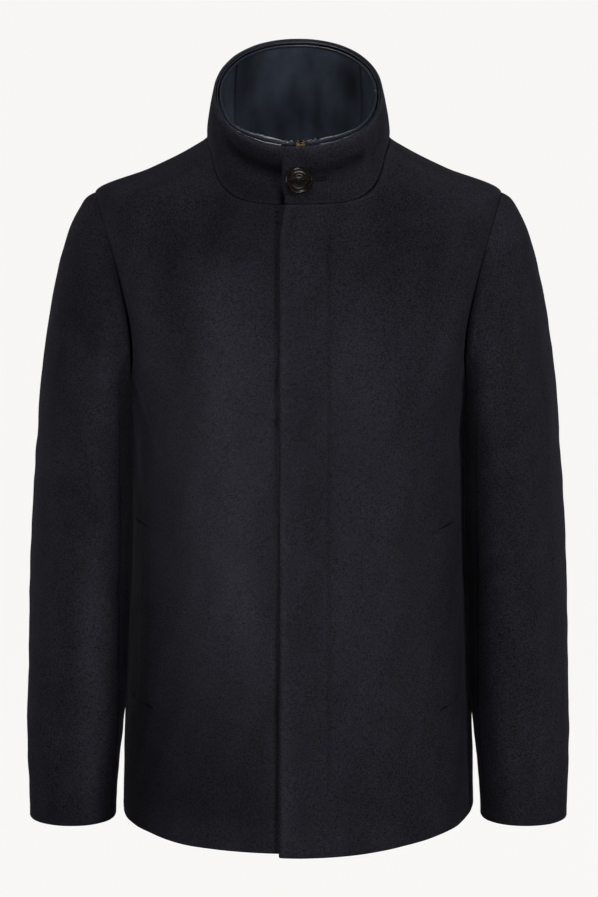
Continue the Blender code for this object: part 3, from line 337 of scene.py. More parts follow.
# pattern of the coat's body, the same as the part's own tables
bodyCut = {
    "rings": (  # height, half width, front, back, squareness
        (-0.790, 0.1915, 0.152, 0.136, 2.30), (-0.725, 0.1905, 0.151, 0.135, 2.30),
        (-0.620, 0.1877, 0.149, 0.131, 2.30), (-0.500, 0.1840, 0.147, 0.127, 2.32),
        (-0.400, 0.1800, 0.145, 0.126, 2.35), (-0.300, 0.1785, 0.142, 0.128, 2.38),
        (-0.250, 0.1830, 0.139, 0.127, 2.36), (-0.200, 0.1910, 0.133, 0.124, 2.32),
        (-0.150, 0.2020, 0.124, 0.118, 2.25), (-0.100, 0.2110, 0.110, 0.109, 2.12),
        (-0.078, 0.2138, 0.103, 0.103, 2.06), (-0.0588, 0.2144, 0.0955, 0.098, 2.00),
        (-0.034, 0.1577, 0.0825, 0.089, 2.00), (-0.013, 0.1155, 0.0690, 0.081, 2.00),
        (0.000, 0.0960, 0.0600, 0.076, 2.00), (0.020, 0.0850, 0.0500, 0.074, 2.00),
    ),
    "neckline": (  # turn, across, drop
        (0.0, 0.0000, 0.0580), (25.0, 0.0400, 0.0565), (42.0, 0.0620, 0.0515), (56.0, 0.0775, 0.0410),
        (70.0, 0.0860, 0.0265), (80.0, 0.0905, 0.0125), (90.0, 0.0960, 0.0000), (110.0, 0.0905, -0.0020),
        (135.0, 0.0680, -0.0050), (180.0, 0.0000, -0.0080),
    ),
    "wall": 0.0026, "seamGap": 0.0003, "lapGap": 0.0010, "sewnRound": 0.08,
    "shoulderDrop": 0.0588, "underarmDrop": 0.272, "hemSide": 0.725,
    "frontNotch": 26.5, "backNotch": 28.0, "notchPower": 0.8, "frontTilt": 0.12, "backTilt": 0.05,   # armhole's cut
    "lapEdge": -0.0208, "lapCorner": 0.0045, "lapUnder": 0.029, "lapFlat": 0.032, "lapFade": 0.085,
    "rowsToUnderarm": 13, "rowsToNeck": 20, "rows": 28, "girthRadius": 0.16,
    "uneven": ((11, 0.055, 0.00022), (12, 0.021, 0.00007)),   # seed, length, size
    "unevenNap": (13, 0.030, 0.06), "napStretch": 0.45,
    "hemDip": {"left": (0.0191, 1.75), "right": (0.0152, 0.75), "back": (0.0060, 2.0)},
    "folds": (  # angle, height, half length, half width, depth, lean
        (-25.0, -0.430, 0.230, 0.030, 0.0026, 2.0), (-44.0, -0.520, 0.170, 0.026, -0.0026, -4.0),
        (32.0, -0.500, 0.210, 0.032, 0.0024, 3.0), (47.0, -0.430, 0.150, 0.024, -0.0022, 5.0),
        (150.0, -0.470, 0.220, 0.034, 0.0032, -3.0), (172.0, -0.560, 0.150, 0.030, -0.0028, 2.0),
        (205.0, -0.430, 0.200, 0.034, 0.0030, 4.0),
    ),
    # creases: drag lines below the armholes, soft drapes down to the hem, and the back's
    "creases": (
        (58.0, -0.285, 0.050, 0.010, -0.0020, -34.0), (52.0, -0.262, 0.040, 0.012, 0.0013, -38.0),
        (66.0, -0.335, 0.055, 0.012, -0.0016, -22.0), (-60.0, -0.290, 0.055, 0.010, -0.0022, 32.0),
        (-52.0, -0.258, 0.036, 0.011, 0.0012, 40.0), (-68.0, -0.345, 0.050, 0.013, -0.0015, 20.0),
        (24.0, -0.180, 0.060, 0.016, -0.0012, 18.0), (-30.0, -0.170, 0.055, 0.015, -0.0012, -20.0),
        (-24.0, -0.370, 0.190, 0.026, 0.0022, 3.0), (-11.5, -0.420, 0.170, 0.012, -0.0012, -1.0),
        (-43.0, -0.470, 0.180, 0.024, -0.0022, -3.0), (27.0, -0.390, 0.150, 0.026, 0.0020, -4.0),
        (43.0, -0.440, 0.170, 0.022, -0.0020, 4.0), (14.0, -0.520, 0.160, 0.014, -0.0009, 2.0),
        (20.0, -0.690, 0.070, 0.016, 0.0016, 3.0), (36.0, -0.705, 0.060, 0.014, -0.0015, -4.0),
        (56.0, -0.680, 0.085, 0.018, 0.0018, 5.0), (-36.0, -0.700, 0.075, 0.016, 0.0017, -3.0),
        (-54.0, -0.690, 0.080, 0.015, -0.0017, 4.0), (-70.0, -0.660, 0.090, 0.018, 0.0016, -5.0),
        (75.0, -0.470, 0.090, 0.012, -0.0014, 6.0), (-76.0, -0.450, 0.080, 0.012, -0.0013, -6.0),
        (140.0, -0.300, 0.060, 0.013, -0.0036, 30.0), (126.0, -0.330, 0.045, 0.011, -0.0026, 42.0),
        (220.0, -0.310, 0.058, 0.013, -0.0036, -32.0), (236.0, -0.335, 0.042, 0.011, -0.0026, -44.0),
        (160.0, -0.385, 0.022, 0.050, -0.0024, 8.0), (196.0, -0.400, 0.020, 0.046, -0.0022, -10.0),
        (133.0, -0.620, 0.120, 0.018, -0.0036, 4.0), (160.0, -0.650, 0.085, 0.016, -0.0028, -4.0),
        (188.0, -0.660, 0.090, 0.018, 0.0036, -3.0), (206.0, -0.600, 0.110, 0.016, -0.0030, 3.0),
        (222.0, -0.640, 0.105, 0.017, -0.0034, 5.0), (245.0, -0.600, 0.090, 0.016, 0.0022, -4.0),
        (180.0, -0.070, 0.020, 0.060, -0.0018, 0.0), (113.0, -0.560, 0.100, 0.014, 0.0020, 3.0),
    ),
    # painted light and shade, as patches where the colour is painted paler or darker: angle, height, half length,
    # half width, share, lean
    "paintedShading": (
        (-26.0, -0.310, 0.190, 0.030, 0.25, 2.0), (-59.0, -0.580, 0.270, 0.046, -0.50, 0.0),
        (-72.0, -0.260, 0.075, 0.022, -0.10, 0.0), (80.0, -0.320, 0.045, 0.020, 0.50, 0.0),
        (62.0, -0.220, 0.065, 0.022, -0.12, 0.0), (-52.0, -0.190, 0.060, 0.026, 0.26, 0.0),
        (-68.0, -0.190, 0.050, 0.018, -0.20, 0.0), (-42.0, -0.735, 0.035, 0.050, 0.22, 0.0),
        (6.0, -0.690, 0.060, 0.020, 0.20, 0.0), (-82.0, -0.490, 0.250, 0.034, -0.42, 0.0),
        (84.0, -0.510, 0.160, 0.034, -0.30, 0.0), (-84.0, -0.470, 0.260, 0.015, -0.45, 0.0),
        (86.0, -0.500, 0.240, 0.015, -0.45, 0.0), (-34.0, -0.160, 0.080, 0.022, -0.34, 0.0),
        (-13.0, -0.400, 0.090, 0.012, -0.14, 0.0), (-25.0, -0.180, 0.070, 0.026, 0.26, 4.0),
        (-24.0, -0.738, 0.028, 0.100, 0.20, 0.0), (8.0, -0.300, 0.080, 0.020, -0.08, 0.0),
        (-62.0, -0.235, 0.070, 0.030, -0.06, 0.0), (62.0, -0.050, 0.030, 0.060, 0.16, 0.0),
        (-20.0, -0.660, 0.100, 0.070, -0.20, 0.0), (-18.0, -0.075, 0.045, 0.050, -0.24, 0.0),
        (-4.5, -0.140, 0.080, 0.012, 0.10, 0.0), (-4.0, -0.670, 0.090, 0.012, 0.40, 0.0),
        (3.0, -0.430, 0.140, 0.024, -0.12, 0.0), (25.0, -0.420, 0.270, 0.045, 0.20, 1.0),
        (50.0, -0.200, 0.050, 0.022, 0.14, 0.0), (15.0, -0.250, 0.060, 0.025, 0.10, 0.0),
        (64.0, -0.570, 0.210, 0.030, -0.30, 0.0), (78.0, -0.700, 0.050, 0.024, 0.20, 0.0),
        (52.0, -0.120, 0.070, 0.036, -0.03, 0.0), (30.0, -0.085, 0.080, 0.050, -0.22, 0.0),
        (12.0, -0.735, 0.030, 0.090, 0.14, 0.0), (150.0, -0.400, 0.240, 0.030, 0.20, -3.0),
        (174.0, -0.560, 0.180, 0.026, -0.22, 2.0), (205.0, -0.400, 0.210, 0.030, 0.20, 4.0),
        (122.0, -0.540, 0.200, 0.034, -0.26, 0.0), (240.0, -0.520, 0.210, 0.034, -0.26, 0.0),
        (133.0, -0.620, 0.120, 0.014, -0.16, 4.0), (222.0, -0.640, 0.105, 0.014, -0.16, 5.0),
        (140.0, -0.300, 0.060, 0.010, -0.18, 30.0), (220.0, -0.310, 0.058, 0.010, -0.18, -32.0),
    ),
}


def unit(vectors):
    return vectors / np.maximum(np.linalg.norm(vectors, axis=-1, keepdims=True), 1e-12)


def stack(x, y, z):
    return np.stack(np.broadcast_arrays(x, y, z), axis=-1).astype(float)


# 1 on a line, fading out within a short reach of it
def fade(distance, reach):
    return np.exp(-(distance / reach) ** 2)


def smoothStep(low, high, value):
    part = np.clip((np.asarray(value, float) - low) / (high - low), 0.0, 1.0)
    return part * part * (3.0 - 2.0 * part)


# smooth curves through a table's columns, flat where a value turns
def tableCurves(rows):
    table = np.array(rows, float)
    return [columnCurve(table[:, 0], table[:, i]) for i in range(1, table.shape[1])]


def columnCurve(xs, ys):
    steps = np.diff(ys) / np.diff(xs)
    before, after = steps[:-1], steps[1:]
    sameWay = before * after > 0.0
    middle = np.where(sameWay, 2.0 * before * after / np.where(sameWay, before + after, 1.0), 0.0)
    slopes = np.concatenate((steps[:1], middle, steps[-1:]))

    def curve(x):
        x = np.asarray(x, float)
        i = np.clip(np.searchsorted(xs, x, side="right") - 1, 0, len(xs) - 2)
        span = xs[i + 1] - xs[i]
        t = (x - xs[i]) / span
        t2, t3 = t * t, t * t * t
        return ((2 * t3 - 3 * t2 + 1) * ys[i] + (t3 - 2 * t2 + t) * span * slopes[i]
                + (3 * t2 - 2 * t3) * ys[i + 1] + (t3 - t2) * span * slopes[i + 1])

    return curve


ringWidth, ringFront, ringBack, ringSquare = tableCurves(bodyCut["rings"])
neckAcross, neckDrop = tableCurves(bodyCut["neckline"])


def squared(angle, power):
    sine, cosine = np.sin(angle), np.cos(angle)
    reach = (np.abs(sine) ** power + np.abs(cosine) ** power) ** (-1.0 / power)
    return sine * reach, cosine * reach


# the coat's outer face; angle 0 is centre front, 90 the wearer's left side
def bodyPoint(angle, height):
    across, ahead = squared(np.radians(angle), ringSquare(height))
    depth = np.where(ahead >= 0.0, ringFront(height), ringBack(height))
    return stack(ringWidth(height) * across, -depth * ahead, height)


def bodyNormal(angle, height):
    angle, height = np.asarray(angle, float), np.asarray(height, float)
    around = bodyPoint(angle + 0.2, height) - bodyPoint(angle - 0.2, height)
    upward = bodyPoint(angle, height + 0.0004) - bodyPoint(angle, height - 0.0004)
    return unit(np.cross(around, upward))


def angleAt(across, height):
    across, height = np.broadcast_arrays(np.asarray(across, float), np.asarray(height, float))
    goal = np.abs(across) / ringWidth(height)
    low, high = np.zeros_like(goal), np.full_like(goal, 90.0)
    for _ in range(26):
        middle = (low + high) / 2.0
        less = squared(np.radians(middle), ringSquare(height))[0] < goal
        low, high = np.where(less, middle, low), np.where(less, high, middle)
    return np.copysign((low + high) / 2.0, across)


def foldDepth(folds, angle, height, radius):
    total = np.zeros(np.broadcast(angle, height).shape)
    for at, level, halfLength, halfWidth, depth, lean in folds:
        turn = (np.asarray(angle) - at + 180.0) % 360.0 - 180.0
        across, along = np.radians(turn) * radius, np.asarray(height) - level
        lean = math.radians(lean)
        side = across * math.cos(lean) + along * math.sin(lean)
        end = along * math.cos(lean) - across * math.sin(lean)
        total = total + depth * np.exp(-((side / halfWidth) ** 2) - (end / halfLength) ** 4)
    return total


# soft unevenness of cloth that has been worn, from a few fixed waves
def unevenness(x, y, seed, waveLength, size):
    picks = np.random.default_rng(seed)
    total = np.zeros(np.broadcast(x, y).shape)
    for _ in range(9):
        heading, phase = picks.uniform(0.0, math.pi), picks.uniform(0.0, 2.0 * math.pi)
        length = waveLength * picks.uniform(0.6, 1.7)
        total = total + np.sin((x * math.cos(heading) + y * math.sin(heading)) * 2.0 * math.pi / length + phase)
    return total * size / 3.0


def bodyRelief(angle, height):
    around, height = np.radians(angle) * bodyCut["girthRadius"], np.asarray(height)
    relief = foldDepth(bodyCut["folds"], angle, height, bodyCut["girthRadius"])
    relief = relief + foldDepth(bodyCut["creases"], angle, height, bodyCut["girthRadius"])
    for seed, length, size in bodyCut["uneven"]:
        relief = relief + unevenness(around, height, seed, length, size)
    return relief


# painted light and shade from the listed patches, with tone that differs at random
def bodyToneAndPaintedShade(angle, height):
    around, height = np.radians(angle) * bodyCut["girthRadius"], np.asarray(height)
    paintedShading = foldDepth(bodyCut["paintedShading"], angle, height, bodyCut["girthRadius"])
    return paintedShading + unevenness(around, height * bodyCut["napStretch"], *bodyCut["unevenNap"])


def lapLift(across):
    lift = bodyCut["wall"] + bodyCut["lapGap"]
    return lift * (1.0 - smoothStep(bodyCut["lapFlat"], bodyCut["lapFade"], across))


def neckPlace(turn):
    turn = np.asarray(turn, float)
    height = -neckDrop(np.abs(turn))
    angle = angleAt(neckAcross(np.abs(turn)), height)
    angle = np.where(np.abs(turn) > 90.0, 180.0 - angle, angle)
    return np.copysign(angle, turn), height


def neckTurn(across):
    fine = np.linspace(0.0, 90.0, 721)
    return np.copysign(np.interp(np.abs(across), neckAcross(fine), fine), across)


def evenTurns(first, last, count):
    fine = np.linspace(first, last, 241)
    points = bodyPoint(*neckPlace(fine))
    along = np.concatenate(([0.0], np.cumsum(np.linalg.norm(np.diff(points, axis=0), axis=1))))
    return np.interp(np.linspace(0.0, along[-1], count + 1), along, fine)


# turns from 0 at the shoulder to 180 at the underarm
def armholePlace(turn, back):
    sine, cosine = np.sin(np.radians(turn)), np.cos(np.radians(turn))
    middle = -(bodyCut["shoulderDrop"] + bodyCut["underarmDrop"]) / 2.0
    height = middle + (bodyCut["underarmDrop"] - bodyCut["shoulderDrop"]) / 2.0 * cosine
    cut = np.maximum(sine, 0.0) ** bodyCut["notchPower"]
    behind = 90.0 + bodyCut["backNotch"] * cut * (1.0 + bodyCut["backTilt"] * cosine)
    ahead = 90.0 - bodyCut["frontNotch"] * cut * (1.0 - bodyCut["frontTilt"] * cosine)
    return np.where(back, behind, ahead), height


quarterTurns = evenTurns(0.0, 90.0, bodyCut["rows"] - bodyCut["rowsToNeck"] - 1)
rearTurns = evenTurns(90.0, 180.0, bodyCut["rows"] - bodyCut["rowsToNeck"])
seamSteps = np.array((0.0, 0.0007, 0.0016, 0.0028, 0.0046, 0.0072))   # closer rows of points beside a seam or edge
bothSides = ((1, "left"), (-1, "right"))   # the wearer's


# places from 0 to 1 along a length, closer at both ends; a free edge leaves room for its round
def edgeSpaced(length, step, freeFirst=False, freeLast=False, fineTo=0.0, fineStep=0.002):
    rim = bodyCut["wall"] / 2.0
    first = seamSteps + (rim if freeFirst else 0.0)
    last = length - (seamSteps + (rim if freeLast else 0.0))[::-1]
    inside = [first]
    start = first[-1]
    if fineTo > start:
        inside.append(np.linspace(start, fineTo, int(round((fineTo - start) / fineStep)) + 1)[1:])
        start = fineTo
    count = max(int(round((last[0] - start) / step)), 1)
    inside.append(np.linspace(start, last[0], count + 1)[1:-1])
    inside.append(last)
    return np.concatenate(inside) / length


def gridFaces(rows, columns):
    corner = (np.arange(rows - 1)[:, None] * columns + np.arange(columns - 1)[None, :]).ravel()
    return np.stack((corner, corner + 1, corner + columns + 1, corner + columns), axis=1)


# distance of every grid point from the first and last column and row, over the surface
def gridDistances(points):
    across = np.linalg.norm(np.diff(points, axis=1), axis=2)
    across = np.concatenate((np.zeros((points.shape[0], 1)), np.cumsum(across, axis=1)), axis=1)
    upward = np.linalg.norm(np.diff(points, axis=0), axis=2)
    upward = np.concatenate((np.zeros((1, points.shape[1])), np.cumsum(upward, axis=0)), axis=0)
    return across, across[:, -1:] - across, upward, upward[-1:] - upward


# cloth sinks into a sewn seam and is a little gathered along it
seamSet = {
    "depth": 0.00035, "neckDepth": 0.00012, "reach": 0.0009, "gatherShare": 0.40, "gatherReach": 0.0055,
    "gathers": ((0.30, 0.0112, 0.7), (0.22, 0.0187, 0.0)),   # share, length, start
}


def seamDip(distance, along, depth=seamSet["depth"]):
    gather = 1.0
    for share, length, start in seamSet["gathers"]:
        gather = gather + share * np.sin(along * 2.0 * math.pi / length + start)
    gathered = seamSet["gatherShare"] * depth * gather * fade(distance, seamSet["gatherReach"])
    return -depth * fade(distance, seamSet["reach"]) - gathered


# the front of the armhole's seam sinks deeper on its way down, more on the wearer's right,
# and the sleeve rolls over it; the colour is painted darker where it sinks, as painted shade, and paler on the roll,
# as painted highlight
armholeSet = {
    "deepens": (0.085, 0.200), "eases": (0.215, 0.250), "leftShare": 0.6, "reach": 0.0040,
    "frontSink": 0.0018, "sleeveSink": 0.0020, "roll": 0.0012, "rollAt": 0.011, "sinkPaintedShade": 0.55, "rollPaintedLight": 0.18,
}


def armholeSink(side, height, distance):
    deep = smoothStep(*armholeSet["deepens"], -height) * (1.0 - smoothStep(*armholeSet["eases"], -height))
    return deep * (1.0 if side < 0 else armholeSet["leftShare"]) * fade(distance, armholeSet["reach"])


def placePiece(name, mesh, material, body="coat"):
    mesh.name = name
    mesh.materials.clear()
    mesh.materials.append(material)
    mesh.shade_smooth()
    piece = bpy.data.objects.new(name, mesh)
    scene.collection.objects.link(piece)
    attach(piece, body)
    return piece


# cloth holds each point's place on the weave and the share of painted light and shade in its colour: paler for light,
# darker for shade
def newPiece(name, points, faces, material, cloth=None):
    mesh = bpy.data.meshes.new(name)
    mesh.from_pydata(np.asarray(points, float).tolist(), [], [list(map(int, face)) for face in faces])
    if cloth is not None:
        places = mesh.attributes.new("cloth", "FLOAT_VECTOR", "POINT")
        places.data.foreach_set("vector", np.asarray(cloth, float).ravel())
    mesh.update()
    return placePiece(name, mesh, material)


def faceOutward(piece):
    shaped = bmesh.new()
    shaped.from_mesh(piece.data)
    bmesh.ops.recalc_face_normals(shaped, faces=shaped.faces)
    shaped.to_mesh(piece.data)
    shaped.free()


# quads between rings of points, and a cap at each end
def ringFaces(first, rings, sides):
    faces = []
    for ring in range(rings - 1):
        for step in range(sides):
            near, after = first + ring * sides + step, first + ring * sides + (step + 1) % sides
            faces.append((near, after, after + sides, near + sides))
    faces.append(tuple(range(first, first + sides))[::-1])
    faces.append(tuple(range(first + (rings - 1) * sides, first + rings * sides)))
    return faces


# closed shell of cloth: outer face, inner face, and a rim that is round on a free edge
def clothShell(name, points, normals, faces, wall, cloth, free, material=melton):
    points, normals, cloth, free = points.reshape(-1, 3), normals.reshape(-1, 3), cloth.reshape(-1, 3), free.ravel()
    count = len(points)
    sample = faces[:: max(len(faces) // 400, 1)]
    facing = np.cross(points[sample[:, 1]] - points[sample[:, 0]], points[sample[:, 3]] - points[sample[:, 0]])
    if np.sum(facing * normals[sample[:, 0]]) < 0.0:
        faces = faces[:, ::-1]
    inner = points - wall * normals
    starts, ends = faces.ravel(), np.roll(faces, -1, axis=1).ravel()
    beside, beyond = np.roll(faces, 1, axis=1).ravel(), np.roll(faces, -2, axis=1).ravel()
    onRim = ~np.isin(starts.astype(np.int64) * count + ends, ends.astype(np.int64) * count + starts)
    first, second = starts[onRim], ends[onRim]
    outward = np.zeros_like(points)
    np.add.at(outward, first, unit(points[first] - points[beside[onRim]]))
    np.add.at(outward, second, unit(points[second] - points[beyond[onRim]]))
    rim = np.unique(first)
    outward = unit(outward[rim])
    seat = np.full(count, -1)
    seat[rim] = np.arange(len(rim))
    middle = (points[rim] + inner[rim]) / 2.0
    bulge = np.where(free[rim], wall / 2.0, wall * bodyCut["sewnRound"])[:, None]
    rings = []
    for turn in (0.25, 0.5, 0.75):
        angle = math.pi * turn
        rings.append(middle + math.cos(angle) * wall / 2.0 * normals[rim] + math.sin(angle) * bulge * outward)
    levels = [(first, second)]
    for level in range(3):
        levels.append(tuple(2 * count + level * len(rim) + seat[ids] for ids in (first, second)))
    levels.append((first + count, second + count))
    allFaces = [faces, faces[:, ::-1] + count]
    for (a0, b0), (a1, b1) in zip(levels, levels[1:]):
        allFaces.append(np.stack((b0, a0, a1, b1), axis=1))
    allPoints = np.concatenate([points, inner] + rings)
    allCloth = np.concatenate([cloth, cloth] + [cloth[rim]] * 3)
    return newPiece(name, allPoints, np.concatenate(allFaces), material, cloth=allCloth)


# slanted pockets: a slit with tacking stitches at each end, and the welt between them
pocketSet = {
    "ends": ((-0.4020, 0.30, 1.0), (-0.5940, 0.46, -1.0)),   # height, slope, way the tacks point
    "left": ((0.1437, 0.1623), (0.1515, 0.1682)), "right": ((0.1520, 0.1698), (0.1574, 0.1741)),
    # the slit's colour is painted darker, as painted shade in it
    "slit": 0.0012, "slitDepth": 0.0040, "slitPaintedShade": 0.6, "slitFade": (0.002, 0.001),
    "tackPitch": 0.0013, "tackEnds": (-0.0004, 0.0028), "tackSpread": 0.1, "tackSunk": 0.0001, "tackArch": -0.0008,
    "threadRadius": 0.00022,
    "wall": 0.0013, "edgeSunk": 0.0006, "stand": 0.0011, "standReach": 0.0110, "endReach": 0.010,
    "step": 0.0030, "width": 0.030, "widthStep": 0.0020, "endStand": 0.4, "weaveFrom": 7.0, "flat": (0.033, 0.194),
}
# rows of points on a body panel; a row is counted in the part's own rows
panelSet = {
    "rowHeight": 0.0348, "topRowHeight": 0.0165, "firstRow": 0.30, "rowStep": 0.115, "neckStep": 0.20,
    "closest": 0.0004, "pocketRowHeight": 0.03452, "pocketRise": 0.001, "pocketReach": 0.0064, "pocketRows": 23,
    "calmWithin": 0.022,
}


# rows of a body panel, from the hem to the shoulder seam, closer at both and at the pocket's ends
def panelRows(pockets):
    rowHeight, toNeck, last = panelSet["rowHeight"], bodyCut["rowsToNeck"], bodyCut["rows"]
    rows = [(seamSteps + bodyCut["wall"] / 2.0) / rowHeight,
            np.arange(panelSet["firstRow"], toNeck, panelSet["rowStep"]),
            np.arange(toNeck, last - 0.5, panelSet["neckStep"]), last - seamSteps / panelSet["topRowHeight"]]
    if pockets:
        reach = panelSet["pocketReach"]
        for level, slope, way in pocketSet["ends"]:
            centre = (level + bodyCut["hemSide"] + panelSet["pocketRise"]) / panelSet["pocketRowHeight"]
            rows.append(centre + np.linspace(-reach, reach, panelSet["pocketRows"]) / rowHeight)
    rows = np.unique(np.concatenate(rows))
    keep = np.concatenate(([True], np.diff(rows) > panelSet["closest"] / rowHeight))
    return rows[keep]


# angle and height of every grid point of a panel, between its middle and side lines
def panelPlaces(rows, columns, edgeAngle, turns, back, dip):
    toUnderarm, toNeck = bodyCut["rowsToUnderarm"], bodyCut["rowsToNeck"]
    armTurn = 180.0 * (1.0 - np.clip((rows - toUnderarm) / (bodyCut["rows"] - toUnderarm), 0.0, 1.0))
    armAngle, armHeight = armholePlace(armTurn, back)
    sideHeight = -bodyCut["hemSide"] + (bodyCut["hemSide"] - bodyCut["underarmDrop"]) * rows / toUnderarm
    below = rows < toUnderarm
    sideAngle, sideHeight = np.where(below, 90.0, armAngle), np.where(below, sideHeight, armHeight)
    neckAngle, neckHeight = neckPlace(np.interp(rows - toNeck, np.arange(len(turns)), turns))
    corner = float(neckPlace(turns[0])[1])
    edgeHeight = -bodyCut["hemSide"] + (corner + bodyCut["hemSide"]) * rows / toNeck
    onEdge = rows < toNeck
    middleAngle = np.where(onEdge, edgeAngle(edgeHeight, corner), neckAngle)
    middleHeight = np.where(onEdge, edgeHeight, neckHeight)
    part = columns[None, :]
    angle = (1.0 - part) * middleAngle[:, None] + part * sideAngle[:, None]
    height = (1.0 - part) * middleHeight[:, None] + part * sideHeight[:, None]
    hemMiddle = edgeAngle(np.array([-bodyCut["hemSide"]]), corner)[0]
    hemAngle = (1.0 - columns) * hemMiddle + columns * 90.0
    sag = -dip[0] * np.abs(np.cos(np.radians(hemAngle))) ** dip[1]
    height = height + sag[None, :] * np.clip(1.0 - rows / toUnderarm, 0.0, 1.0)[:, None] ** 2
    return angle, height


# distances from the seams at the neck and the armhole, and how free the cloth is: it rests where it is sewn
def sewnEdges(rows, base, fromMiddle, fromSide, fromShoulder):
    within, neckRow = panelSet["calmWithin"], bodyCut["rowsToNeck"]
    atNeck = np.where((rows >= neckRow)[:, None], fromMiddle, 1.0)
    atNeck = np.minimum(atNeck, np.linalg.norm(base - base[np.searchsorted(rows, neckRow), 0], axis=2))
    atArmhole = np.where((rows > bodyCut["rowsToUnderarm"])[:, None], fromSide, 1.0)
    calm = smoothStep(0.0, within, atArmhole) * smoothStep(0.0, within, fromShoulder)
    calm = calm * smoothStep(0.0, within, atNeck)
    return atNeck, atArmhole, calm


# both fronts; where two or three values stand together, the last is how far it reaches
frontSet = {
    "width": 0.262, "step": 0.0036, "fineTo": 0.066, "fineStep": 0.0019, "cornerRound": 0.02, "weaveFrom": 0.4,
    "flyStitch": 0.0310, "flyTop": -0.092, "flyBottom": -0.665, "flyFade": 0.02,
    "stitchLength": 0.0032, "stitchPitch": 0.0040,
    "threadRadius": 0.00030, "threadSunk": 0.00062, "threadArch": 0.00010,
    # the fly stitching's line, the lap's edge and the layer under the lap are painted darker as shade, and a band
    # inside the lap's edge painted paler as light
    "flyDip": (0.0005, 0.0021), "flyPaintedShade": (0.20, 0.0016), "lapFull": (0.0006, 0.004, 0.016),
    "edgeTurnIn": (0.0005, 0.0026), "edgePaintedLight": (0.22, 0.0040, 0.0030), "edgePaintedShade": (0.45, 0.0012),
    "underLapPaintedShadow": (0.75, 0.0012, 0.0011),
    "flatLeft": (0.285, 0.755), "areaLeft": 0.199, "flatRight": (0.292, 0.752), "areaRight": 0.203,
}


def frontPanel(name, side, word):
    lapped = side > 0
    edgeAcross = bodyCut["lapEdge"] if lapped else -bodyCut["lapUnder"]
    eased = bodyCut["lapCorner"] if lapped else 0.0
    turns = np.concatenate(([float(neckTurn(edgeAcross + eased))], quarterTurns))

    def edgeAngle(height, corner):
        return angleAt(edgeAcross + eased * fade(height - corner, frontSet["cornerRound"]), height)

    rows = panelRows(True)
    columns = edgeSpaced(frontSet["width"], frontSet["step"], freeFirst=True,
                         fineTo=frontSet["fineTo"] if lapped else 0.0, fineStep=frontSet["fineStep"])
    angle, height = panelPlaces(rows, columns, edgeAngle, turns, False, bodyCut["hemDip"][word])
    base, normals = bodyPoint(angle, height), bodyNormal(angle, height)
    across = base[..., 0]
    fromEdge, fromSide, fromHem, fromShoulder = gridDistances(base)
    atNeck, atArmhole, calm = sewnEdges(rows, base, fromEdge, fromSide, fromShoulder)
    sunk = armholeSink(side, height, atArmhole)
    out = bodyRelief(side * angle, height) * calm
    out = out + seamDip(np.minimum(fromSide, fromShoulder), height) + seamDip(atNeck, across, seamSet["neckDepth"])
    out = out - armholeSet["frontSink"] * sunk
    if lapped:
        bottom, top, ends = frontSet["flyBottom"], frontSet["flyTop"], frontSet["flyFade"]
        fly = smoothStep(bottom - ends, bottom, height) * (1.0 - smoothStep(top, top + ends, height))
        offLine = across - frontSet["flyStitch"]
        dip, dipReach = frontSet["flyDip"]
        out = out + lapLift(across) - fly * dip * fade(offLine, dipReach)
        # the lap is a little fuller between its edge and the stitching, and its edge turns in
        full, fullAt, fullReach = frontSet["lapFull"]
        turnIn, turnReach = frontSet["edgeTurnIn"]
        out = out + full * fade(across - fullAt, fullReach) - turnIn * fade(fromEdge, turnReach)
    slit = np.zeros(angle.shape)
    outside, inside = pocketSet["slitFade"]
    for (level, slope, way), (x0, x1) in zip(pocketSet["ends"], pocketSet[word]):
        window = smoothStep(x0 - outside, x0 + inside, across) * (1.0 - smoothStep(x1 - inside, x1 + outside, across))
        offSlit = (height - level - slope * (across - (x0 + x1) / 2.0)) / pocketSet["slit"]
        slit = slit + window * np.exp(-offSlit ** 4)
    out = out - pocketSet["slitDepth"] * slit
    points = (base + out[..., None] * normals) * (side, 1, 1)
    free = np.zeros(angle.shape, bool)
    free[0, :] = True
    free[:, 0] = rows < bodyCut["rowsToNeck"]
    # painted shade, darker in the pocket slits and where the armhole seam sinks, added to the body's painted light
    # and shade
    toneAndPaintedShade = bodyToneAndPaintedShade(side * angle, height) - pocketSet["slitPaintedShade"] * slit - armholeSet["sinkPaintedShade"] * sunk
    if lapped:
        # painted light in a band just inside the lap's edge, painted shade right at the edge and along the fly
        # stitching
        pale, paleAt, paleReach = frontSet["edgePaintedLight"]
        dark, darkReach = frontSet["edgePaintedShade"]
        lies, liesReach = frontSet["flyPaintedShade"]
        toneAndPaintedShade = toneAndPaintedShade + pale * fade(fromEdge - paleAt, paleReach) - dark * fade(fromEdge, darkReach)
        toneAndPaintedShade = toneAndPaintedShade - lies * fly * fade(offLine, liesReach)
    else:
        # painted shadow of the lap's edge on the layer under it
        dark, darkAt, darkReach = frontSet["underLapPaintedShadow"]
        toneAndPaintedShade = toneAndPaintedShade - dark * fade(across + bodyCut["lapEdge"] - darkAt, darkReach)
    cloth = stack(fromEdge * side + frontSet["weaveFrom"] * side, fromHem, toneAndPaintedShade)
    piece = clothShell(name, points, normals * (side, 1, 1), gridFaces(*angle.shape), bodyCut["wall"], cloth, free)
    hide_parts("front_" + word)


frontPanel("wool_front_left", 1, "left")
frontPanel("wool_front_right", -1, "right")
print("fronts cut and hung")

backSet = {"halfWidth": 0.265, "step": 0.0038, "flat": (0.560, 0.760), "area": 0.357}


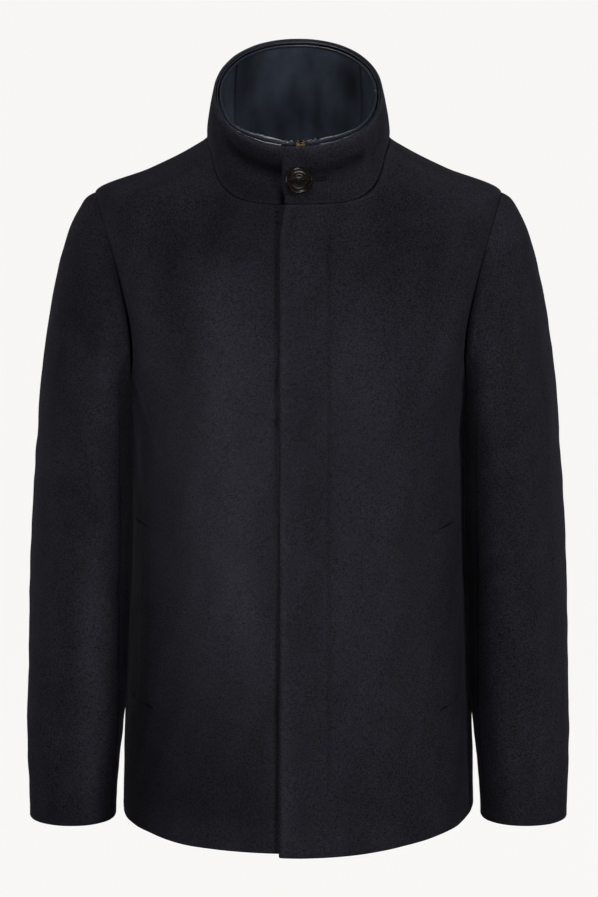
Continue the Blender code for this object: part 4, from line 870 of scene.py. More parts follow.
def backPanel():
    rows = panelRows(False)
    columns = edgeSpaced(backSet["halfWidth"], backSet["step"])

    def edgeAngle(height, corner):
        return np.full_like(height, 180.0)

    angle, height = panelPlaces(rows, columns, edgeAngle, rearTurns[::-1], True, bodyCut["hemDip"]["back"])
    base, normals = bodyPoint(angle, height), bodyNormal(angle, height)
    fromMiddle, fromSide, fromHem, fromShoulder = gridDistances(base)
    atNeck, atArmhole, calm = sewnEdges(rows, base, fromMiddle, fromSide, fromShoulder)
    seams = seamDip(np.minimum(fromSide, fromShoulder), height) + seamDip(atNeck, base[..., 0], seamSet["neckDepth"])
    points, directions, cloths = [], [], []
    for side in (1, -1):
        out = bodyRelief(side * angle, height) * calm + seams
        points.append((base + out[..., None] * normals) * (side, 1, 1))
        directions.append(normals * (side, 1, 1))
        cloths.append(stack(side * fromMiddle, fromHem, bodyToneAndPaintedShade(side * angle, height)))
    points, directions, cloths = (np.concatenate(halves).reshape(-1, 3) for halves in (points, directions, cloths))
    # both halves share the points of the middle line below the neck
    ids = np.arange(angle.size).reshape(angle.shape)
    other = ids + angle.size
    other[:, 0] = np.where(rows <= bodyCut["rowsToNeck"], ids[:, 0], other[:, 0])
    faces = gridFaces(*angle.shape)
    used, faces = np.unique(np.concatenate((faces, other.ravel()[faces][:, ::-1])), return_inverse=True)
    free = np.zeros((2,) + angle.shape, bool)
    free[:, 0] = True
    piece = clothShell("wool_back", points[used], directions[used], faces.reshape(-1, 4), bodyCut["wall"],
                       cloths[used], free.ravel()[used])
    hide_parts("back")


backPanel()
print("back cut and hung")

# sleeves: a head that leaves the armhole, then a tube down to the cuff
sleeveCut = {
    "sections": (  # height, across, depth, half width, half depth, lean, twist
        (-0.760, 0.2440, -0.031, 0.0460, 0.0460, 0.000, 36.0), (-0.7330, 0.2440, -0.030, 0.0465, 0.0465, 0.000, 34.0),
        (-0.680, 0.2427, -0.026, 0.0486, 0.0490, 0.004, 28.0), (-0.610, 0.2395, -0.019, 0.0517, 0.0520, 0.010, 19.0),
        (-0.520, 0.2372, -0.015, 0.0502, 0.0560, 0.017, 9.0), (-0.455, 0.2351, -0.010, 0.0495, 0.0590, 0.020, 4.0),
        (-0.390, 0.2322, -0.006, 0.0484, 0.0620, 0.021, 1.0), (-0.305, 0.2286, -0.004, 0.0462, 0.0660, 0.020, 0.0),
    ),
    "head": (  # start length, end length, across, depth, height, at the top, the sides and the underarm
        (0.033, 0.150, 0.91, 0.00, -0.42), (0.040, 0.055, 0.62, 0.22, -0.75), (0.008, 0.008, 0.12, 0.00, -0.99),
    ),
    "bicepsDrop": 0.305, "cuffDrop": 0.7330, "square": 2.15, "headSunk": 0.0001,
    "restWithin": (0.0015, 0.011), "restGap": 0.0005, "restTo": (-0.632, -0.585), "restFrom": (-0.262, -0.242),
    "upper": {"turns": (-108.0, 120.0), "headStep": 0.028, "flat": (0.215, 0.690), "area": 0.1385},
    "under": {"turns": (120.0, 252.0), "headStep": 0.045, "flat": (0.125, 0.575), "area": 0.0650},
    "radius": 0.055, "outerRadius": 0.057, "step": 0.0038, "tubeStep": 0.0042, "headLength": 0.15, "headFrom": 0.075,
    "pastBiceps": 0.004, "weaveFrom": 1.4, "reliefFrom": 0.16,
    "headFull": (0.0011, 0.012, 0.008),   # the head stands a little full over its seam: height, place, reach
    # the seams' colour is painted darker, as painted shade in their dips
    "seamPaintedShade": (0.40, 0.0016), "napStretch": 0.5, "unevenNap": (33, 0.028, 0.06),
    "uneven": ((21, 0.045, 0.00020), (31, 0.019, 0.00007)),   # seed, length, size
    "folds": {  # turn, height, half length, half width, depth, lean
        1: ((62.0, -0.312, 0.036, 0.011, -0.0034, 46.0), (40.0, -0.330, 0.036, 0.014, 0.0022, 46.0),
            (265.0, -0.410, 0.030, 0.014, -0.0030, -40.0)),
        -1: ((58.0, -0.205, 0.036, 0.011, -0.0034, 42.0), (70.0, -0.390, 0.034, 0.013, -0.0026, 50.0),
             (268.0, -0.400, 0.030, 0.014, -0.0030, -42.0)),
    },
    # elbow creases in front and behind, drag lines on the upper arm, dents above the cuff
    "creases": {
        1: ((95.0, -0.425, 0.030, 0.008, -0.0019, 58.0), (110.0, -0.462, 0.034, 0.009, -0.0021, 66.0),
            (84.0, -0.505, 0.028, 0.009, -0.0016, 50.0), (30.0, -0.455, 0.040, 0.013, 0.0013, 40.0),
            (300.0, -0.470, 0.032, 0.010, -0.0020, -48.0), (282.0, -0.520, 0.030, 0.010, -0.0017, -38.0),
            (320.0, -0.350, 0.034, 0.012, -0.0014, -44.0), (20.0, -0.600, 0.055, 0.012, -0.0014, 14.0),
            (70.0, -0.640, 0.050, 0.012, -0.0015, -12.0), (340.0, -0.670, 0.045, 0.012, 0.0012, 10.0),
            (80.0, -0.250, 0.030, 0.010, -0.0018, 30.0), (20.0, -0.235, 0.030, 0.013, -0.0010, 36.0)),
        -1: ((92.0, -0.440, 0.032, 0.008, -0.0020, 54.0), (108.0, -0.475, 0.032, 0.009, -0.0021, 68.0),
             (76.0, -0.530, 0.030, 0.010, -0.0015, 44.0), (26.0, -0.430, 0.042, 0.013, 0.0012, 44.0),
             (298.0, -0.450, 0.034, 0.010, -0.0019, -52.0), (280.0, -0.505, 0.030, 0.010, -0.0018, -36.0),
             (318.0, -0.330, 0.034, 0.012, -0.0013, -40.0), (36.0, -0.610, 0.055, 0.012, -0.0013, 10.0),
             (82.0, -0.655, 0.045, 0.012, -0.0016, -10.0), (335.0, -0.650, 0.050, 0.012, 0.0012, 12.0),
             (82.0, -0.265, 0.030, 0.010, -0.0018, 34.0), (30.0, -0.300, 0.034, 0.014, -0.0011, 40.0)),
    },
    # painted light and shade on the sleeves, as patches
    "paintedShading": {  # the same, with a share instead of a depth
        1: ((112.0, -0.245, 0.060, 0.022, 0.44, 0.0), (122.0, -0.530, 0.120, 0.020, -0.34, 0.0),
            (12.0, -0.480, 0.240, 0.030, 0.12, 0.0), (163.0, -0.470, 0.250, 0.036, -0.80, 0.0),
            (50.0, -0.085, 0.025, 0.030, 0.25, 0.0), (75.0, -0.680, 0.100, 0.034, 0.17, 0.0),
            (250.0, -0.480, 0.120, 0.030, -0.18, 0.0)),
        -1: ((85.0, -0.580, 0.150, 0.022, 0.56, 0.0), (72.0, -0.290, 0.070, 0.030, 0.13, 0.0),
             (24.0, -0.260, 0.050, 0.030, -0.20, 0.0), (12.0, -0.450, 0.200, 0.030, 0.16, 0.0),
             (163.0, -0.470, 0.250, 0.036, -0.80, 0.0), (48.0, -0.170, 0.050, 0.030, -0.20, 0.0),
             (124.0, -0.570, 0.110, 0.020, -0.24, 0.0), (112.0, -0.215, 0.075, 0.022, 0.32, 0.0),
             (255.0, -0.500, 0.120, 0.030, -0.18, 0.0)),
    },
}
tubeAcross, tubeDepth, tubeWidth, tubeThick, tubeLean, tubeTwist = tableCurves(sleeveCut["sections"])


def tubePoint(turn, height):
    sine, cosine = squared(np.radians(turn + tubeTwist(height)), sleeveCut["square"])
    across = tubeAcross(height) + tubeWidth(height) * cosine - tubeLean(height) * sine
    return stack(across, tubeDepth(height) - tubeThick(height) * sine, height)


# along runs from the armhole (0) past the biceps (1) to the cuff (2)
def sleevePoint(turn, along):
    turn, along = np.broadcast_arrays(np.mod(np.asarray(turn, float), 360.0), np.asarray(along, float))
    biceps, cuff = -sleeveCut["bicepsDrop"], -sleeveCut["cuffDrop"]
    tube = tubePoint(turn, biceps + (np.maximum(along, 1.0) - 1.0) * (cuff - biceps))
    back = turn > 180.0
    angle, height = armholePlace(np.where(back, 360.0 - turn, turn), back)
    start = bodyPoint(angle, height) - sleeveCut["headSunk"] * bodyNormal(angle, height)
    end = tubePoint(turn, np.full_like(turn, biceps))
    sine, cosine = np.sin(np.radians(turn)), np.cos(np.radians(turn))
    shares = (np.maximum(cosine, 0.0) ** 2, sine ** 2, np.maximum(-cosine, 0.0) ** 2)
    mixed = sum(share[..., None] * np.array(row) for share, row in zip(shares, sleeveCut["head"]))
    direction = unit(stack(mixed[..., 2], -np.copysign(mixed[..., 3], sine), mixed[..., 4]))
    endDirection = unit(tubePoint(turn, np.full_like(turn, biceps - 0.01)) - end)
    near, far = start + mixed[..., 0:1] * direction, end - mixed[..., 1:2] * endDirection
    t = np.minimum(along, 1.0)[..., None]
    head = (1 - t) ** 3 * start + 3 * (1 - t) ** 2 * t * near + 3 * (1 - t) * t ** 2 * far + t ** 3 * end
    return np.where((along >= 1.0)[..., None], tube, head)


def sleeveNormal(turn, along):
    turn, along = np.broadcast_arrays(np.asarray(turn, float), np.asarray(along, float))
    low, high = np.maximum(along - 0.004, 0.0), np.maximum(along + 0.004, 0.008)
    around = sleevePoint(turn + 0.2, along) - sleevePoint(turn - 0.2, along)
    downward = sleevePoint(turn, high) - sleevePoint(turn, low)
    return unit(np.cross(around, downward))


def sleeveRelief(side, turn, height, along):
    around = np.radians(turn) * sleeveCut["radius"]
    relief = foldDepth(sleeveCut["folds"][side], turn, height, sleeveCut["radius"])
    relief = relief + foldDepth(sleeveCut["creases"][side], turn, height, sleeveCut["radius"])
    for seed, length, size in sleeveCut["uneven"]:
        relief = relief + unevenness(around, height, seed + side, length, size)
    return relief * smoothStep(0.0, sleeveCut["reliefFrom"], along)


# where the sleeve hangs close to the side of the body, it lies against it
def restOnBody(points, side):
    x, y, z = points[..., 0], points[..., 1], points[..., 2]
    ahead = -y / np.where(y <= 0.0, ringFront(z), ringBack(z))
    power = ringSquare(z)
    across = np.maximum(1.0 - np.abs(ahead) ** power, 0.0) ** (1.0 / power)
    angle = np.degrees(np.arctan2(across, ahead))
    clear = x - ringWidth(z) * across - bodyRelief(side * angle, z)
    loose = smoothStep(*sleeveCut["restWithin"], clear)
    rested = loose * clear + (1.0 - loose) * sleeveCut["restGap"]
    hold = smoothStep(*sleeveCut["restTo"], z) * (1.0 - smoothStep(*sleeveCut["restFrom"], z))
    rested = x + (rested - clear) * hold
    return stack(rested, y, z)


def sleevePiece(kind, side, word):
    cut = sleeveCut[kind]
    first, last = cut["turns"]
    headRows = np.arange(sleeveCut["headFrom"], 1.0, cut["headStep"])
    tubeLength = sleeveCut["cuffDrop"] - sleeveCut["bicepsDrop"]
    tubeRows = 1.0 + edgeSpaced(tubeLength, sleeveCut["tubeStep"], freeLast=True)[len(seamSteps):]
    alongs = np.concatenate((seamSteps / sleeveCut["headLength"], headRows,
                             [1.0, 1.0 + sleeveCut["pastBiceps"] / tubeLength], tubeRows))
    width = math.radians(last - first) * sleeveCut["outerRadius"]
    turns = first + (last - first) * edgeSpaced(width, sleeveCut["step"])
    turn, along = np.meshgrid(turns, alongs)
    base, normals = sleevePoint(turn, along), sleeveNormal(turn, along)
    height = base[..., 2]
    fromBack, fromFront, fromArmhole, fromCuff = gridDistances(base)
    seam = np.minimum(fromBack, fromFront)
    atTop, ahead = np.maximum(np.cos(np.radians(turn)), 0.0), np.maximum(np.sin(np.radians(turn)), 0.0)
    sunk = armholeSink(side, height, fromArmhole) * ahead
    roll = armholeSink(side, height, fromArmhole - armholeSet["rollAt"]) * ahead
    full, fullAt, fullReach = sleeveCut["headFull"]
    out = sleeveRelief(side, turn, height, along) + seamDip(seam, height) + seamDip(fromArmhole, height)
    out = out + full * fade(fromArmhole - fullAt, fullReach) * atTop
    out = out - armholeSet["sleeveSink"] * sunk + armholeSet["roll"] * roll
    points = restOnBody(base + out[..., None] * normals, side) * (side, 1, 1)
    free = np.zeros(turn.shape, bool)
    free[-1, :] = True
    seed, length, size = sleeveCut["unevenNap"]
    dark, darkReach = sleeveCut["seamPaintedShade"]
    around = np.radians(turn) * sleeveCut["radius"]
    # painted light and shade: the listed patches, darker where the armhole seam sinks and along the seams, paler on
    # the roll, with tone that differs at random
    toneAndPaintedShade = foldDepth(sleeveCut["paintedShading"][side], turn, height, sleeveCut["radius"])
    toneAndPaintedShade = toneAndPaintedShade + unevenness(around, height * sleeveCut["napStretch"], seed + side, length, size)
    toneAndPaintedShade = toneAndPaintedShade - armholeSet["sinkPaintedShade"] * sunk + armholeSet["rollPaintedLight"] * roll - dark * fade(seam, darkReach)
    cloth = stack(fromBack * side + sleeveCut["weaveFrom"] * side, -fromArmhole, toneAndPaintedShade)
    piece = clothShell("wool_" + kind + "_sleeve_" + word, points, normals * (side, 1, 1), gridFaces(*turn.shape),
                       bodyCut["wall"], cloth, free)
    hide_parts(kind + "_sleeve_" + word)


for side, word in bothSides:
    for kind in ("upper", "under"):
        sleevePiece(kind, side, word)
print("sleeves set in")

# standing collar, its inner collar and its trim
collarCut = {
    "rimHalfWidth": 0.0885, "rimFront": (-0.0830, 0.0006), "rimBack": (0.0750, 0.0964),
    "square": 2.15, "bulge": 0.0020, "bulgeFrom": 0.005, "tall": 0.062, "step": 0.0030, "upStep": 0.0026,
    "innerSet": 0.0069, "innerWall": 0.0015, "innerBelow": 0.40, "innerTop": 0.905, "innerFrontRise": 0.135,
    "innerSeamTurn": 131.0, "pipeRadius": 0.0012, "bindingHalfWidth": 0.0015, "bindingHalfHeight": 0.0028,
    "foldHalfWidth": 0.0019, "foldHalfHeight": 0.0028, "foldRise": {1: 0.035, -1: 0.005},
    "innerPower": 3.2, "zipDip": (0.045, 0.04), "frontTall": 0.060, "radius": 0.08, "uneven": (41, 0.035, 0.00025),
    "flat": (0.118, 0.520), "area": 0.0410,
    "flatInnerBack": (0.165, 0.112), "areaInnerBack": 0.0166,
    "flatInnerSide": (0.165, 0.105), "areaInnerSide": 0.0142,
    # troughs and rolls of the front: across and up at both ends, half width, depth
    "creases": (
        (-0.070, 0.72, -0.0150, 0.56, 0.110, -0.0036), (-0.062, 0.94, -0.0150, 0.84, 0.120, 0.0042),
        (-0.058, 0.28, -0.0260, 0.22, 0.120, 0.0010), (-0.083, 0.30, -0.0790, 0.70, 0.300, -0.0009),
        (0.012, 0.54, 0.0620, 0.62, 0.100, -0.0034), (0.010, 0.83, 0.0640, 0.90, 0.120, 0.0040),
        (0.050, 0.72, 0.0780, 0.50, 0.060, -0.0010), (0.026, 0.40, 0.0500, 0.36, 0.060, -0.0007),
        (0.020, 0.22, 0.0600, 0.26, 0.110, 0.0008), (0.080, 0.34, 0.0840, 0.70, 0.300, -0.0009),
    ),
    # painted light and shade on the inner cloth, paler or darker: across, height, half width, half height, share
    "innerPaintedShading": (
        (-0.060, 0.054, 0.018, 0.032, -0.56), (-0.024, 0.036, 0.024, 0.030, 0.06),
        (0.021, 0.014, 0.005, 0.030, -0.38), (0.034, 0.046, 0.010, 0.020, 0.30),
        (0.059, 0.050, 0.012, 0.028, -0.66), (0.0755, 0.026, 0.008, 0.030, 0.34),
        (-0.050, 0.078, 0.014, 0.012, -0.34), (0.010, 0.076, 0.010, 0.014, -0.18),
        (0.045, 0.004, 0.010, 0.018, -0.26), (-0.0760, 0.012, 0.006, 0.025, 0.50),
        (-0.054, 0.008, 0.010, 0.024, -0.20), (0.000, -0.012, 0.060, 0.020, 1.00),
    ),
    "creaseFade": 0.007, "creasesFrom": 0.15,
    # the lap's lower corner stands open, over a dent in the layer under it
    "lapOpen": 0.0034, "lapOpenUp": (0.06, 0.38), "lapOpenReach": 0.008,
    "lapDent": 0.0028, "lapDentAt": (-0.0172, 0.0042), "lapTurnIn": (0.0004, 0.003),
    # painted shadow in the gap under the lap's open corner, and painted light on the lap
    "gapPaintedShadow": (0.95, 0.0018, 0.0027), "lapPaintedLight": 0.06,
    # painted light and shade on the wool: darker in the troughs, paler on the rolls, darker all over, paler along
    # both edges, darker in the seam behind and on the right
    "troughPaintedShade": (130.0, -0.46, 0.04), "lies": 0.17, "neckPaintedLight": (0.12, 0.004), "rimPaintedLight": (0.50, 0.90, 0.0030),
    "seamBehindPaintedShade": (0.55, 0.0016), "behind": (0.2, 0.6), "rightPaintedShade": 0.10, "rightFrom": (-0.075, -0.060),
    "weaveFrom": 3.0,
}


def rimPoint(turn):
    front, rear = np.array(collarCut["rimFront"]), np.array(collarCut["rimBack"])
    sine, cosine = squared(np.radians(turn), collarCut["square"])
    middle, reach = (front + rear) / 2.0, (rear - front) / 2.0
    return stack(collarCut["rimHalfWidth"] * sine, middle[0] - reach[0] * cosine, middle[1] - reach[1] * cosine)


def rimTurn(turn):
    base = bodyPoint(*neckPlace(turn))
    middle = (collarCut["rimFront"][0] + collarCut["rimBack"][0]) / 2.0
    return np.degrees(np.arctan2(base[..., 0] / collarCut["rimHalfWidth"],
                                 (middle - base[..., 1]) / (collarCut["rimBack"][0] - middle)))


# from the neckline (0) to the rim (1)
def collarPoint(turn, up):
    turn, up = np.broadcast_arrays(np.asarray(turn, float), np.asarray(up, float))
    turn = (turn + 180.0) % 360.0 - 180.0
    base, rim = bodyPoint(*neckPlace(turn)), rimPoint(rimTurn(turn))
    bulge = collarCut["bulge"] * np.sin(math.pi * np.clip(up, 0.0, 1.0))
    out = unit(stack(base[..., 0], base[..., 1] - collarCut["bulgeFrom"], 0.0))
    return base + up[..., None] * (rim - base) + bulge[..., None] * out


def collarNormal(turn, up):
    turn, up = np.broadcast_arrays(np.asarray(turn, float), np.asarray(up, float))
    around = collarPoint(turn + 0.5, up) - collarPoint(turn - 0.5, up)
    upward = collarPoint(turn, up + 0.02) - collarPoint(turn, up - 0.02)
    return unit(np.cross(around, upward))


def collarFace(turn, up, inset):
    return collarPoint(turn, up) - np.asarray(inset)[..., None] * collarNormal(turn, up)


# the inner collar's edge rises towards the front, and is lower beside the zip
def innerTop(turn):
    rise = collarCut["innerFrontRise"] * np.abs(np.cos(np.radians(turn) / 2.0)) ** collarCut["innerPower"]
    dip, reach = collarCut["zipDip"]
    return collarCut["innerTop"] + rise - dip * np.exp((np.cos(np.radians(turn)) - 1.0) / reach)


# turns between two others, evenly spaced along the neckline
def collarTurns(first, last, step):
    fine = np.linspace(first, last, 1441)
    points = collarPoint(fine, 0.5)
    along = np.concatenate(([0.0], np.cumsum(np.linalg.norm(np.diff(points, axis=0), axis=1))))
    places = edgeSpaced(along[-1], step) * along[-1]
    return np.interp(places, along, fine)


def collarRelief(turn, up):
    wrapped = (turn + 180.0) % 360.0 - 180.0
    across = collarPoint(turn, up)[..., 0]
    front = np.abs(wrapped) < 100.0
    relief = np.zeros(np.broadcast(turn, up).shape)
    for x0, up0, x1, up1, halfWidth, depth in collarCut["creases"]:
        level = up0 + (up1 - up0) * np.clip((across - x0) / (x1 - x0), 0.0, 1.0)
        past = np.maximum(x0 - across, across - x1).clip(0.0) / collarCut["creaseFade"]
        sameSide = front & ((turn < -180.0) == (x0 > 0.0))
        relief = relief + depth * np.exp(-((up - level) / halfWidth) ** 2 - past ** 2) * sameSide
    around = np.radians(turn) * collarCut["radius"]
    relief = relief + unevenness(around, up * collarCut["frontTall"], *collarCut["uneven"])
    return relief * smoothStep(0.0, collarCut["creasesFrom"], up)


def woolCollar():
    first = float(neckTurn(bodyCut["lapUnder"]))
    last = float(neckTurn(bodyCut["lapEdge"] + bodyCut["lapCorner"])) - 360.0
    turns = collarTurns(first, last, collarCut["step"])
    turn, up = np.meshgrid(turns, edgeSpaced(collarCut["tall"], collarCut["upStep"], freeLast=True))
    base, normals = collarPoint(turn, up), collarNormal(turn, up)
    across, facing = base[..., 0], np.cos(np.radians(turn))
    onRight, lapped = turn > -90.0, turn < -270.0
    fromRight, fromLeft, fromNeck, fromRim = gridDistances(base)
    panel = bodyNormal(*neckPlace((turn + 180.0) % 360.0 - 180.0))
    lift = unit((1.0 - up)[..., None] * panel + up[..., None] * normals)
    relief = collarRelief(turn, up)
    turnIn, turnReach = collarCut["lapTurnIn"]
    out = relief + seamDip(fromNeck, across, seamSet["neckDepth"]) - turnIn * fade(fromLeft, turnReach)
    points = base + out[..., None] * normals + np.where(lapped, lapLift(across), 0.0)[..., None] * lift
    opened = 1.0 - smoothStep(*collarCut["lapOpenUp"], up)
    opens = collarCut["lapOpen"] * opened * fade(fromLeft, collarCut["lapOpenReach"])
    points[..., 0] += np.where(lapped, opens, 0.0)
    dentAt, dentReach = collarCut["lapDentAt"]
    dent = fade(across - dentAt, dentReach) * opened * onRight
    points -= (collarCut["lapDent"] * dent)[..., None] * normals
    free = np.zeros(turn.shape, bool)
    free[1:, (0, -1)] = True
    free[-1, :] = True
    # painted light and shade on the wool: darker in the troughs, paler on the rolls, darker all over, paler along the
    # neck and the rim, darker in the seam behind and on the right
    shadePerDepth, darkestShade, palestLight = collarCut["troughPaintedShade"]
    neckPaintedLight, neckReach = collarCut["neckPaintedLight"]
    frontPale, rearPale, rimReach = collarCut["rimPaintedLight"]
    seamPaintedShade, seamReach = collarCut["seamBehindPaintedShade"]
    toneAndPaintedShade = np.clip(relief * shadePerDepth, darkestShade, palestLight) - collarCut["lies"] + neckPaintedLight * fade(fromNeck, neckReach)
    toneAndPaintedShade = toneAndPaintedShade + np.where(facing < 0.0, rearPale, frontPale) * fade(fromRim, rimReach)
    toneAndPaintedShade = toneAndPaintedShade - seamPaintedShade * smoothStep(*collarCut["behind"], -facing) * fade(fromNeck, seamReach)
    toneAndPaintedShade = toneAndPaintedShade - collarCut["rightPaintedShade"] * smoothStep(*collarCut["rightFrom"], across) * onRight
    # painted shadow in the gap under the lap's open corner; painted light on the lap
    gapPaintedShadow, gapAt, gapReach = collarCut["gapPaintedShadow"]
    gap = fade(points[..., 0] - points[:, -1:, 0] + gapAt, gapReach) * opened
    toneAndPaintedShade = np.where(onRight, toneAndPaintedShade - gapPaintedShadow * gap, toneAndPaintedShade + collarCut["lapPaintedLight"])
    cloth = stack(fromRight + collarCut["weaveFrom"], fromNeck, toneAndPaintedShade)
    piece = clothShell("wool_collar", points, normals, gridFaces(*turn.shape), bodyCut["wall"], cloth, free)
    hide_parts("collar")


woolCollar()

# zip inside the lap; clear is a distance from its middle line
zipSet = {
    "across": 0.0030, "inset": 0.0054, "liningClear": 0.0112, "foldClear": (0.0068, 0.0240), "trimClear": 0.0226,
    "tapeClear": (0.0009, 0.0130), "tapeUp": (-0.38, 0.910), "tapeWall": 0.0010, "tapeRib": (0.00008, 0.003),
    "tapeColumns": 15, "tapeRows": 60, "flatTape": (0.0122, 0.080),
    "toothPitch": 0.0026, "toothLength": 0.0026, "toothHeight": 0.0013, "toothThick": 0.0019, "toothSharp": 40.0,
    "toothClear": 0.0006, "toothShift": 0.0004, "teethFrom": 0.02, "teethTo": 0.90,
    "toothOutline": (  # reach and height, as shares of half the length and the height
        (-0.6, -0.5), (0.25, -0.5), (0.5, -0.28), (0.85, -0.22), (1.0, 0.0),
        (0.85, 0.22), (0.5, 0.28), (0.25, 0.5), (-0.6, 0.5),
    ),
    "toothLayers": ((-1.0, 0.86), (-0.8, 1.0), (0.8, 1.0), (1.0, 0.86)),   # depth, size
    "sliderRound": 0.00055, "pullRound": 0.00022,
}


def turnsFromZip(clear):
    return float(neckTurn(zipSet["across"] - clear)), float(neckTurn(zipSet["across"] + clear)) - 360.0


# three pieces of cloth; upright creases, from sitting round a neck, only go inwards, away from the wool
liningSet = {
    "step": 0.0030, "tall": 0.085, "radius": 0.075, "weaveFrom": 5.0, "inward": 0.0014,
    "ripples": ((0.006, 51, 0.019, 0.00080), (0.03, 52, 0.03, 0.0004)),   # stretch, seed, length, size
    # the seams' colour is painted darker, as painted shade in them
    "calmTop": 0.010, "calmEnds": 0.008, "seamDepth": 0.0004, "seamPaintedShade": (0.45, 0.0014),
}


def innerCollar():
    first, last = turnsFromZip(zipSet["liningClear"])
    seamAt = collarCut["innerSeamTurn"]
    stretches = (("right", first, -seamAt, "Side"), ("back", -seamAt, seamAt - 360.0, "Back"),
                 ("left", seamAt - 360.0, last, "Side"))
    for word, start, end, kind in stretches:
        turns = collarTurns(start, end, liningSet["step"])
        turn, part = np.meshgrid(turns, edgeSpaced(liningSet["tall"], liningSet["step"]))
        up = -collarCut["innerBelow"] + (innerTop(turn) + collarCut["innerBelow"]) * part
        base, normals = collarFace(turn, up, collarCut["innerSet"] * np.ones_like(up)), collarNormal(turn, up)
        fromFirst, fromLast, fromLow, fromTop = gridDistances(base)
        seam = np.minimum(fromFirst, fromLast)
        along = np.radians((turn + 360.0) % 360.0) * liningSet["radius"]
        ripple = sum(unevenness(along, up * stretch, *wave) for stretch, *wave in liningSet["ripples"])
        calm = smoothStep(0.0, liningSet["calmTop"], fromTop) * smoothStep(0.0, liningSet["calmEnds"], seam)
        inward = np.maximum((liningSet["inward"] + ripple) * calm, 0.0)
        inward = inward - seamDip(seam, base[..., 2], liningSet["seamDepth"])
        points = base - inward[..., None] * normals
        # painted light and shade on the inner cloth from the listed patches, and painted shade along its seams
        rub = sum(share * np.exp(-((base[..., 0] - x) / wide) ** 2 - ((base[..., 2] - z) / tall) ** 2)
                  for x, z, wide, tall, share in collarCut["innerPaintedShading"])
        dark, darkReach = liningSet["seamPaintedShade"]
        cloth = stack(fromFirst + liningSet["weaveFrom"], fromLow, rub - dark * fade(seam, darkReach))
        piece = clothShell("inner_collar_cloth_" + word, points, normals, gridFaces(*turn.shape),
                           collarCut["innerWall"], cloth, np.zeros(turn.shape, bool), innerCotton)
        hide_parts("inner_collar_" + word)


innerCollar()
print("collar and its lining sewn on")


# satin trim: piping that shows more in front, a band that is twisted on the wearer's right, and its folded ends
trimSet = {
    "puckers": ((1.0, 0.0061, 0.0), (0.5, 0.0037, 1.0)),   # share, length, start
    "weaveWide": 0.004, "step": 0.0016, "endTaper": (0.006, 0.35), "frontFrom": (-0.45, 0.80),
    "uneven": (61, 0.026, 1.0),   # seed, length, size
    "pipeSize": (0.78, 0.17), "pipeRise": (0.954, 0.062, 0.003), "pipeSides": 12,
    "bandTall": (0.40, 0.60, 0.10), "bandWide": (1.15, 0.10), "bandRise": 0.012, "twist": (0.04, 0.12, -46.0, 24.0),
    "foldRows": 61, "foldSides": 20, "foldPucker": 0.22, "foldLift": 0.004, "foldWave": (0.010, 9.0),
    "foldSwell": (0.40, 0.60, 0.06, 0.90), "foldLumps": (0.16, 16.0, 2.0),
}


# a soft tube along a path; each place has its up and out directions and half sizes
def softTube(name, path, ups, outs, widths, heights, sides=16, pucker=0.0):
    count = len(path)
    pucker = np.reshape(pucker, (-1, 1))
    along = np.concatenate(([0.0], np.cumsum(np.linalg.norm(np.diff(path, axis=0), axis=1))))
    angle = np.linspace(0.0, 2.0 * math.pi, sides, endpoint=False)
    wave = 1.0
    for (share, length, start), lobes in zip(trimSet["puckers"], (np.cos(angle * 2.0), np.sin(angle * 3.0 + 0.4))):
        wave = wave + share * pucker * np.sin(along * 2.0 * math.pi / length + start)[:, None] * lobes[None, :]
    points = (path[:, None, :] + (np.cos(angle)[None, :] * widths[:, None] * wave)[..., None] * outs[:, None, :]
              + (np.sin(angle)[None, :] * heights[:, None] * wave)[..., None] * ups[:, None, :])
    cloth = stack(np.broadcast_to(along[:, None], (count, sides)), np.sin(angle)[None, :] * trimSet["weaveWide"],
                  np.cos(angle)[None, :] * trimSet["weaveWide"])
    piece = newPiece(name, points.reshape(-1, 3), ringFaces(0, count, sides), satinTape,
                     cloth=cloth.reshape(-1, 3))
    faceOutward(piece)
    return piece


def rimPath(inset, rise, turns):
    outs = collarNormal(turns, rise)
    path = collarFace(turns, rise, inset * np.ones_like(turns))
    upward = collarPoint(turns, 1.0) - collarPoint(turns, 0.0)
    ups = unit(upward - np.sum(upward * outs, axis=1, keepdims=True) * outs)
    return path, ups, outs


def bindingRise(turns, halfHeight):
    tall = np.linalg.norm(collarPoint(turns, 1.0) - collarPoint(turns, 0.0), axis=-1)
    return innerTop(turns) + (halfHeight + bodyCut["seamGap"]) / tall


